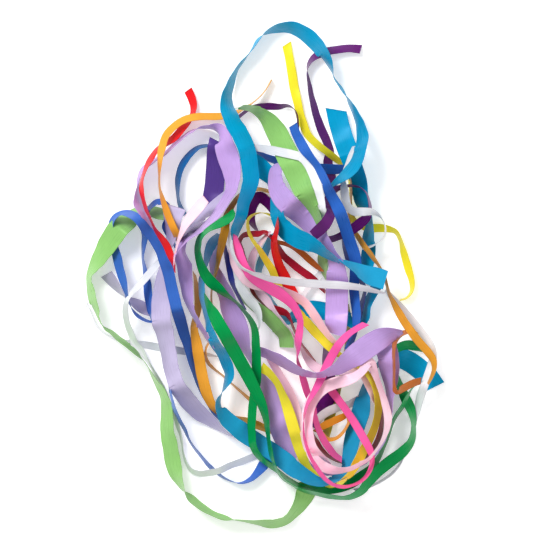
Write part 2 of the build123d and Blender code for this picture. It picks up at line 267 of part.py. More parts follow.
        (91, 101, 6, 1), (91, 90, 6, 2), (91, 79, 6, 2), (89, 68, 6, 2), (89, 58, 6, 2.5), (93, 49, 8, 3.5),
        (98, 41, 8, 4.5), (104, 32, 8, 5), (110, 24, 8, 5), (116, 16, 8, 4), (121, 9, 8, 2), (126, 0, 7, 2),
        (129, -12, 7, 2.5), (132, -21, 6, 3), (137, -31, 6, 6), (143, -42, 7, 8), (149, -52, 7, 8), (156, -62, 7, 8.5),
        (164, -72, 7, 8.5), (172, -81, 7, 8.5), (178, -90, 7, 7), (179, -98, 7, 4), (176, -107, 6, 3),
        (172, -115, 6, 1.5)]),
    "white_far_right": ("white", 10, [
        (128, -16, 4, 3), (136, -25, 5, 6), (146, -36, 5, 8), (157, -49, 5, 8), (167, -62, 5, 8), (175, -74, 5, 8),
        (178, -86, 5, 8), (175, -99, 5, 8), (170, -113, 5, 8), (165.5, -127, 5, 8), (162, -142, 4, 7),
        (158.5, -157, 3, 4), (156, -169, 3, 3), (152, -182, 3, 2), (147, -193, 3, 2), (142, -203, 3, 2),
        (134, -212, 3, 2), (124, -219, 3, 2), (113, -224, 3, 2), (103, -227, 3, 3), (95, -229, 3, 3)]),
    "coral_right": ("rust", 10, [
        (160, -60, 6, 3), (151, -60, 7, 4), (143, -63, 11, 4), (137.5, -70, 12, 4), (135.5, -80, 12, 3),
        (135.5, -92, 12, 2), (136, -104, 11.8, 2), (136, -115, 11.8, 2), (138.5, -123, 11.6, 5), (146, -119.5, 8, 8),
        (155, -115, 5, 8), (165, -112, 4, 7)]),
    "lavender_right": ("lavender", 25, [
        (-10, -79, 8, 9), (0, -83, 9, 10), (14, -89, 11, 11), (29, -97, 15, 10), (44, -103.5, 16, 7),
        (58, -104.5, 16, 6), (71, -100, 16, 11), (84, -92, 16, 19), (97, -83, 16, 24), (110, -74, 16, 24.5),
        (122, -66.5, 16, 23), (133, -61.5, 16, 15), (145, -60, 15, 4)]),
    "violet_right": ("lavender", 25, [
        (124, -62, 9, 16), (127, -74, 10, 20), (130, -86, 10, 22), (131, -98, 10, 20), (132, -109, 10, 16),
        (132.5, -120, 10, 10), (133, -131, 10, 6), (133, -142, 10, 3), (132, -153, 10, 2), (129.5, -164, 10, 3),
        (125.5, -175, 10, 4), (119.5, -185, 10, 5), (112, -193, 9, 5), (104, -199.5, 8, 5), (95, -205, 8, 4),
        (85, -209, 8, 4), (75, -210, 9, 4), (65, -208, 9, 5), (56, -203, 9, 5), (49.5, -196, 9, 5), (45.5, -187, 9, 3),
        (43, -178, 8, 1)]),
    "hotpink_loop": ("hotpink", 10, [
        (106, -51, 11, 6), (97, -56, 13, 6), (88, -62, 14, 6), (80, -70, 14, 8), (74, -79, 14, 9), (69, -88, 14, 9),
        (64, -98, 14, 8.5), (60, -107, 16, 8.5), (55, -117, 16.5, 7), (50, -126, 16.5, 5), (45, -135, 16.5, 3),
        (41.5, -146, 16, 1.5), (40.5, -159, 15, 1.5), (42, -173, 15, 2), (46.5, -187, 15, 3), (52, -198, 15, 4),
        (59, -208.5, 15, 4), (67, -216.5, 15, 3.5), (77, -221, 14, 2.5), (88, -221.5, 13, 2), (99, -218, 12, 2.5),
        (107, -211, 12, 3), (111.5, -202, 12, 4), (112.5, -192, 11, 5), (109.5, -182, 12, 8), (104, -172, 12, 8),
        (97, -160, 12, 8), (90, -149, 12, 8), (83, -139, 12, 8), (76, -129.5, 12, 8), (69.5, -121, 11, 9),
        (64, -112, 10, 8)]),
    "pink_ring": ("lightpink", 13, [
        (4, -88, 6, 5), (10, -97, 7, 8), (17, -109, 7, 9), (23, -119, 7, 9), (29, -130, 7, 9), (34.5, -143, 8, 7),
        (38, -156, 8, 5), (41, -169, 9, 5), (45.5, -182, 10, 7), (51.5, -192, 12, 11), (60, -200, 13, 12),
        (70, -204, 13, 10), (80, -204.5, 13, 7), (90, -202.5, 13, 5.5), (100, -198, 13, 5), (109, -192, 13, 4),
        (117, -183, 13, 3), (124, -172, 13, 4.5), (128, -160, 13, 7), (129, -148, 13, 8), (126.5, -135, 13, 8),
        (122.5, -122, 13, 6), (118, -110, 13, 6), (114.5, -100, 13, 9), (111, -92, 12, 10), (107, -94, 13, 8),
        (102, -101, 14, 8), (94, -107, 14, 10), (84, -111, 14, 12), (73, -114, 14, 12.5), (62, -119, 14, 12.5),
        (53, -127.5, 14, 12.5), (47, -138, 14, 12.5), (44.5, -150, 14, 12), (44.5, -162, 13, 11), (47.5, -174, 12, 9),
        (53, -184, 11, 8), (60, -192.5, 10.5, 7), (69, -199, 9.5, 4)]),
    "palepink_mid": ("blush", 13, [
        (6, 46, 4.8, 2), (0, 39, 4.8, 4), (-6, 32, 5.5, 5), (-12, 22, 8.6, 8), (-14.5, 12, 8.8, 8), (-14, 2, 8.8, 6),
        (-11, -10, 9.4, 5), (-5, -19, 10, 9), (3, -28, 10, 8), (11, -39, 10, 3), (19, -49, 10, 2), (27, -59, 10, 2),
        (32, -68, 10, 2), (38, -77, 9, 3), (43, -86, 9, 6), (49, -94, 9, 9), (57, -99, 9, 10), (68, -102, 9, 6),
        (81, -103, 9, 4), (92, -101, 10, 4), (101, -101, 10, 7), (107, -108, 9, 12), (112, -120, 9, 10), (116, -134, 8, 3)]),
    "crimson_ring": ("crimson", 13, [
        (46.5, -157, 8, 2), (49.5, -167, 8, 4), (54, -177, 8, 7), (60, -186, 8, 6), (68, -193, 7, 4), (79, -198, 6, 4),
        (91, -200, 6, 4), (102, -197, 7, 5), (111, -189.5, 9, 6), (117.5, -180, 9, 6.5), (122, -169, 9, 6),
        (124, -157, 9, 5), (123.5, -144, 9, 4), (122.5, -130, 9, 3), (120, -117, 8, 2), (114, -107, 7, 2.5),
        (104, -102, 7, 4), (94, -104, 7, 4), (84, -104.5, 6, 3)]),
    "white_inside": ("white", 13, [
        (53, -156, 5, 8), (60, -149, 6, 9), (69, -143.5, 6, 9.5), (79, -140, 6, 9), (88, -138, 7, 8), (94.5, -134, 4.5, 7),
        (101, -130, 3.2, 6), (108, -126.5, 3, 5), (115, -124, 3, 4)]),
    "orange_ring": ("orange", 10, [
        (53, -166, 6, 5), (61, -160, 8, 8), (70, -156, 9, 8), (79, -152, 10, 8), (87, -149, 9, 6), (89, -154, 9, 3),
        (86.5, -161, 9, 2), (81.5, -168, 9, 2.5), (74.5, -173, 9, 3), (67, -173.5, 9, 4), (60, -168, 8, 5),
        (54, -162, 7, 4)]),
    "olive_inside": ("olive", 13, [
        (87.5, -30, 4, 3), (88.5, -42, 5, 4), (88.5, -57, 5, 4), (87, -75, 5, 4), (83, -98, 5, 4), (79, -118, 5, 5),
        (74, -136, 4, 8), (69, -151, 4, 10), (66.5, -163, 4, 10), (66, -175, 5, 4)]),
    "plum_ring": ("plum", 22, [
        (66, -74, 6, 6), (64.5, -84, 6, 6), (65, -97, 5, 8), (68, -110, 5, 14), (67, -124, 5, 20), (61, -137, 5, 20),
        (54, -149, 5, 18), (48, -160, 5, 10)]),
}


def evenly(route):
    """Rows of x, y, level and seen width, evenly spaced along a smooth curve through the route's points."""
    p = np.array(route, float)
    chords = np.linalg.norm(np.diff(p[:, :2], axis=0), axis=1)
    t = np.concatenate([[0.0], np.cumsum(np.sqrt(chords))])
    slope = np.gradient(p, t, axis=0)
    fine = np.linspace(0.0, t[-1], 40 * len(p))
    k = np.clip(np.searchsorted(t, fine, side="right") - 1, 0, len(t) - 2)
    h = (t[k + 1] - t[k])[:, None]
    s = (fine - t[k])[:, None] / h
    a, b = p[k], p[k + 1]
    smooth = ((1 + 2 * s) * (1 - s) ** 2 * a + s * (1 - s) ** 2 * h * slope[k]
              + s * s * (3 - 2 * s) * b + s * s * (s - 1) * h * slope[k + 1])
    plain = a + (b - a) * s * s * (3 - 2 * s)
    run = np.concatenate([[0.0], np.cumsum(np.linalg.norm(np.diff(smooth[:, :2], axis=0), axis=1))])
    at = np.linspace(0.0, run[-1], max(8, int(round(run[-1] / STATION_STEP)) + 1))
    columns = [smooth[:, 0], smooth[:, 1], plain[:, 2], plain[:, 3]]
    return np.column_stack([np.interp(at, run, column) for column in columns])


def twist(seen, width):
    """Tilt of each station. Where the ribbon stands on its edge it turns over and shows its other face."""
    share = np.clip(seen / width, 0.03, 0.995)
    on_edge = share < ON_EDGE
    starts = np.flatnonzero(np.diff(on_edge.astype(int)) == 1) + 1
    side = np.ones(len(share))
    for start in starts:
        rest = np.flatnonzero(~on_edge[start:])
        if start > 3 and len(rest) and start + rest[0] < len(share) - 3:
            side[start + rest[0] // 2:] *= -1
    tilt = np.arccos(side * share)
    for _ in range(3):
        tilt[1:-1] = (tilt[:-2] + 2 * tilt[1:-1] + tilt[2:]) / 4
    return tilt


def across(plan, tilt):
    """Unit vectors from one edge of the ribbon to the other."""
    ahead = np.gradient(plan, axis=0)
    ahead /= np.linalg.norm(ahead, axis=1)[:, None]
    flat = np.column_stack([-ahead[:, 1], ahead[:, 0]])
    return np.column_stack([flat * np.cos(tilt)[:, None], np.sin(tilt)])


def samples(plan, level, side, width, first):
    """Cell, station, level and height above the middle line of points spread over one ribbon."""
    spread = np.linspace(-0.5, 0.5, int(width / 1.5) | 1) * width
    rows = []
    for part in (0.0, 0.5):
        middle = plan[:-1] * (1 - part) + plan[1:] * part
        lean = side[:-1] * (1 - part) + side[1:] * part
        x = middle[:, 0, None] + lean[:, 0, None] * spread
        y = middle[:, 1, None] + lean[:, 1, None] * spread
        cell = np.floor((x + PLAN_REACH) / CELL) * 1000 + np.floor((y + PLAN_REACH) / CELL)
        station = np.repeat(np.arange(len(middle)) + first, len(spread))
        levels = np.repeat(level[:-1] * (1 - part) + level[1:] * part, len(spread))
        rows.append(np.column_stack([cell.ravel(), station, levels, (lean[:, 2, None] * spread).ravel()]))
    return np.vstack(rows)


def passages(points, owner):
    """One row for each time a ribbon passes a cell: cell, owner, station, level, lowest and highest."""
    order = np.lexsort((points[:, 1], owner, points[:, 0]))
    points, owner = points[order], owner[order]
    cell, station = points[:, 0], points[:, 1]
    new = np.ones(len(points), bool)
    new[1:] = (np.diff(cell) != 0) | (np.diff(owner) != 0) | (np.diff(station) > 5)
    start = np.flatnonzero(new)
    end = np.append(start[1:], len(points))
    level = np.add.reduceat(points[:, 2], start) / (end - start)
    lowest = np.minimum.reduceat(points[:, 3], start)
    highest = np.maximum.reduceat(points[:, 3], start)
    return np.column_stack([cell[start], owner[start], station[(start + end - 1) // 2], level, lowest, highest])


def pairs(cell):
    """Every two passages that share a cell."""
    count = np.arange(len(cell))
    ends = np.append(np.flatnonzero(np.diff(cell)) + 1, len(cell))
    stop = ends[np.searchsorted(ends, count, side="right")]
    found = []
    for step in range(1, int((stop - count).max())):
        one = np.flatnonzero(count + step < stop)
        found.append(np.column_stack([one, one + step]))
    return np.vstack(found).T


def crossings(passed):
    """Lower station, upper station and the least height between them, for every crossing in every cell."""
    owner, station, level = passed[:, 1], passed[:, 2].astype(int), passed[:, 3]
    p, q = pairs(passed[:, 0])
    order = np.lexsort((station[q], station[p], owner[q], owner[p]))
    p, q = p[order], q[order]
    new = np.ones(len(p), bool)
    new[1:] = ((np.diff(owner[p]) != 0) | (np.diff(owner[q]) != 0)
               | (np.abs(np.diff(station[p])) > 4) | (np.abs(np.diff(station[q])) > 14))
    higher = level[q] - level[p]
    sure = np.where(np.abs(higher) >= 1.5, np.sign(higher), 0)
    kept = sure[np.maximum.accumulate(np.where((sure != 0) | new, np.arange(len(p)), 0))]
    new[1:] |= (kept[1:] != kept[:-1]) & (kept[1:] != 0) & (kept[:-1] != 0)
    start = np.flatnonzero(new)
    above = (np.add.reduceat(higher, start) >= 0)[np.cumsum(new) - 1]
    lower, upper = np.where(above, p, q), np.where(above, q, p)
    return station[lower], station[upper], passed[lower, 5] - passed[upper, 4] + GAP


def settle(lower, upper, least, floor, before, after):
    """Heights at rest: free stretches sink, crossings hold ribbons apart, and stiffness keeps them smooth."""
    def smooth(height, times):
        for _ in range(times):
            height = height[before] / 4 + height / 2 + height[after] / 4
        return height

    height = floor.copy()
    for turn in range(ROUNDS):
        closing = turn >= ROUNDS - LAST_ROUNDS
        short = height[lower] + least - height[upper]
        lift, press = np.zeros(len(height)), np.zeros(len(height))
        np.maximum.at(lift, upper, short * (1.0 if closing else 0.6))
        if closing:
            height = smooth(height + np.minimum(lift, 2.0), 1)
        else:
            np.maximum.at(press, lower, short * 0.4)
            height = smooth(height + lift - press - SINK, STIFFNESS)
        height = np.maximum(height, floor)
    return np.maximum(smooth(height, 3), floor)


def lay_out(ribbons):
    """Each ribbon's middle line in space and its vectors from edge to edge."""
    plans, sides, widths, points, owners, first = [], [], [], [], [], [0]
    for number, (colour, width, route) in enumerate(ribbons.values()):
        rows = evenly(route)
        tilt = twist(rows[:, 3], width)
        side = across(rows[:, :2], tilt)
        points.append(samples(rows[:, :2], rows[:, 2], side, width, first[-1]))
        owners.append(np.full(len(points[-1]), number))
        plans.append(rows[:, :2])
        sides.append(side)
        widths.append(np.full(len(rows), float(width)))
        first.append(first[-1] + len(rows))
    side = np.vstack(sides)
    count = np.arange(first[-1])
    before, after = count - 1, count + 1
    before[first[:-1]] = first[:-1]
    after[np.array(first[1:]) - 1] = np.array(first[1:]) - 1
    floor = np.concatenate(widths) / 2 * side[:, 2] + THICKNESS / 2
    lower, upper, least = crossings(passages(np.vstack(points), np.concatenate(owners)))
    height = settle(lower, upper, least, floor, before, after)
    line = np.column_stack([np.vstack(plans), height])
    return {name: (line[a:b], side[a:b]) for name, a, b in zip(ribbons, first, first[1:])}


def sections(line, side, width):
    """The four corners of the ribbon's section at every few stations."""
    ahead = np.gradient(line, axis=0)
    face = np.cross(ahead, side)
    face /= np.linalg.norm(face, axis=1)[:, None]
    chosen = sorted({*range(0, len(line) - 2, SECTION_EVERY), len(line) - 1})
    half_width, half_thick = side[chosen] * width / 2, face[chosen] * THICKNESS / 2
    signs = [(-1, -1), (1, -1), (1, 1), (-1, 1)]
    return np.stack([line[chosen] + a * half_width + b * half_thick for a, b in signs], axis=1)


def flat_face(*corners):
    return Face(Wire.make_polygon([tuple(corner) for corner in corners], close=True))


def band(corners):
    """A closed solid between the sections. Its skin is flat triangles, split the same way on face and back."""
    skin = [flat_face(*corners[0][::-1]), flat_face(*corners[-1])]
    for here, there in zip(corners, corners[1:]):
        for i, j in ((0, 1), (1, 2), (2, 3), (3, 0)):
            if i == 2:
                skin.append(flat_face(here[i], here[j], there[i]))
                skin.append(flat_face(here[j], there[j], there[i]))
            else:
                skin.append(flat_face(here[i], here[j], there[j]))
                skin.append(flat_face(here[i], there[j], there[i]))
    return Solid(Shell(skin))


laid = lay_out(RIBBONS)
corners = {name: sections(*laid[name], RIBBONS[name][1]) for name in RIBBONS}
every_corner = np.concatenate([rows.reshape(-1, 3) for rows in corners.values()])
low, high = every_corner.min(axis=0), every_corner.max(axis=0)
zero = np.array([*(low[:2] + high[:2]) / 2, low[2]])
print("the heap's zero in route coordinates", zero.round(3), "and its size", (high - low).round(1))

os.makedirs("parts", exist_ok=True)
for name, (colour, width, route) in RIBBONS.items():
    with BuildPart() as ribbon:
        add(band(corners[name] - zero))
    ribbon.part.label = name
    export_step(ribbon.part, f"parts/{name}.step")
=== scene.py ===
"""Looks of the heap of satin ribbons. Each is a thin woven strip, built along the same route as its CAD solid."""

import bpy
import numpy as np
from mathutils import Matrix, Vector


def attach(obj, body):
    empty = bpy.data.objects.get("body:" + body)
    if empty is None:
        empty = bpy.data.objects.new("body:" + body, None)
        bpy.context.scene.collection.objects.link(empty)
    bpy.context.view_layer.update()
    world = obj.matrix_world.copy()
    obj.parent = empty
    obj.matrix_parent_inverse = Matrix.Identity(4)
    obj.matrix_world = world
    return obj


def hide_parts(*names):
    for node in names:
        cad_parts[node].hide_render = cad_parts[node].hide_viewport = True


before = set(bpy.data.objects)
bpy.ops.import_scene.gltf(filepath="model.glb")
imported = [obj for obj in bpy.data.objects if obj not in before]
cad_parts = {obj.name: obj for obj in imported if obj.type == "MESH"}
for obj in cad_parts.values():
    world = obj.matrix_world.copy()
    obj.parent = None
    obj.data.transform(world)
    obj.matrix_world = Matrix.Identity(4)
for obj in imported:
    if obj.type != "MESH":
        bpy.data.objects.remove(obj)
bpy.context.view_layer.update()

MM = 0.001               # routes are in millimetres, and Blender's lengths in metres

# The heap is laid out as in the CAD model, with the same routes and the same settling.
THICKNESS = 0.6          # of a CAD ribbon
STATION_STEP = 3.0       # spacing of the stations that carry a ribbon's place and twist
SECTION_EVERY = 3        # stations from one section of a CAD ribbon to the next
CELL = 3.0               # side of the plan cells in which crossings are found
GAP = 3.0                # clear height between ribbons that cross
ON_EDGE = 0.17           # seen share of the width under which a ribbon stands on its edge and turns over
PLAN_REACH = 400.0       # every route lies within this distance of the origin
ROUNDS = 260             # relaxation rounds that settle the heap
LAST_ROUNDS = 8          # closing rounds, in which ribbons only lift
SINK = 0.15              # how far a free stretch drops in a round
STIFFNESS = 6            # smoothings of the heights in a round

# The cloth itself, in millimetres
FINE = 2                 # rows of the mesh for each station
CLOTH = 0.30             # thickness of the satin
BEAD = 0.50              # thickness of the woven edge
BEAD_WIDTH = 0.7         # width of the woven edge
CLEAR = 0.05             # least height of the cloth above the table
SPREAD = (-0.8, -0.55, -0.28, 0.0, 0.28, 0.55, 0.8)   # rows of points between the two woven edges
SPREAD_SHARE = 0.86      # share of the cloth between the woven edges that those rows reach over
CUP = 0.018              # mean cupping of the cloth, as a share of its width
CUP_WAVE = 0.022         # how far the cupping varies
FLUTTER = 0.022          # how far an edge flutters, as a share of the width
BUCKLE = 0.10            # how far the inner edge of a tight turn buckles, as a share of the width
TIGHT_FROM = 0.10        # half width over turning radius from which a turn is tight
TIGHT_MOST = 0.5         # and the most that counts
SLANTS = (-0.4, -0.15, 0.0, 0.15, 0.4)                # slopes of a cut end across the width

# The room, in metres
CAMERA_HEIGHT = 3.0      # above the middle of the heap's thickness
CAMERA_RISE = 0.015      # height of that middle over the table
SENSOR = 36.0            # millimetres
FRAMED = 583.0           # side of the square in view, in millimetres
FRAME_MIDDLE = np.array([10.6, 0.0])                  # its middle, in route coordinates, in millimetres
FLOOR_REACH = 4.0        # from the middle of the floor to its edges
FLOOR_DROP = 0.2         # how far the floor lies under the heap's zero, in millimetres

COLOURS = {              # base colours of the satin faces: dyes, and in three of them painted shade
    "turquoise": (0.0, 0.30, 0.54), "yellow": (0.86, 0.74, 0.03), "plum": (0.10, 0.003, 0.13),
    "blue": (0.025, 0.12, 0.48), "navy": (0.012, 0.03, 0.26), "lightgreen": (0.24, 0.50, 0.14),
    # The dark violet holds painted shade: the layer at the back, under the lavender ribbons, coloured as it looks
    # in shade.
    "white": (0.82, 0.83, 0.86), "lavender": (0.52, 0.34, 0.7), "violet": (0.08, 0.04, 0.22),
    "lilac": (0.48, 0.42, 0.62), "red": (0.68, 0.012, 0.016), "orange": (0.78, 0.34, 0.035),
    "teal": (0.0, 0.11, 0.31), "lightpink": (0.97, 0.64, 0.74), "emerald": (0.0, 0.27, 0.06),
    # The dark orange after crimson is two things: the coral ribbon's own colour at the right, and painted shade
    # for an orange ribbon lying in shade in the middle.
    "hotpink": (0.9, 0.11, 0.38), "crimson": (0.37, 0.01, 0.03), "rust": (0.52, 0.15, 0.03),
    # The olive is painted shade: a green ribbon deep in the heap, coloured as it looks in shade.
    "blush": (0.95, 0.66, 0.80), "olive": (0.45, 0.42, 0.05),
}

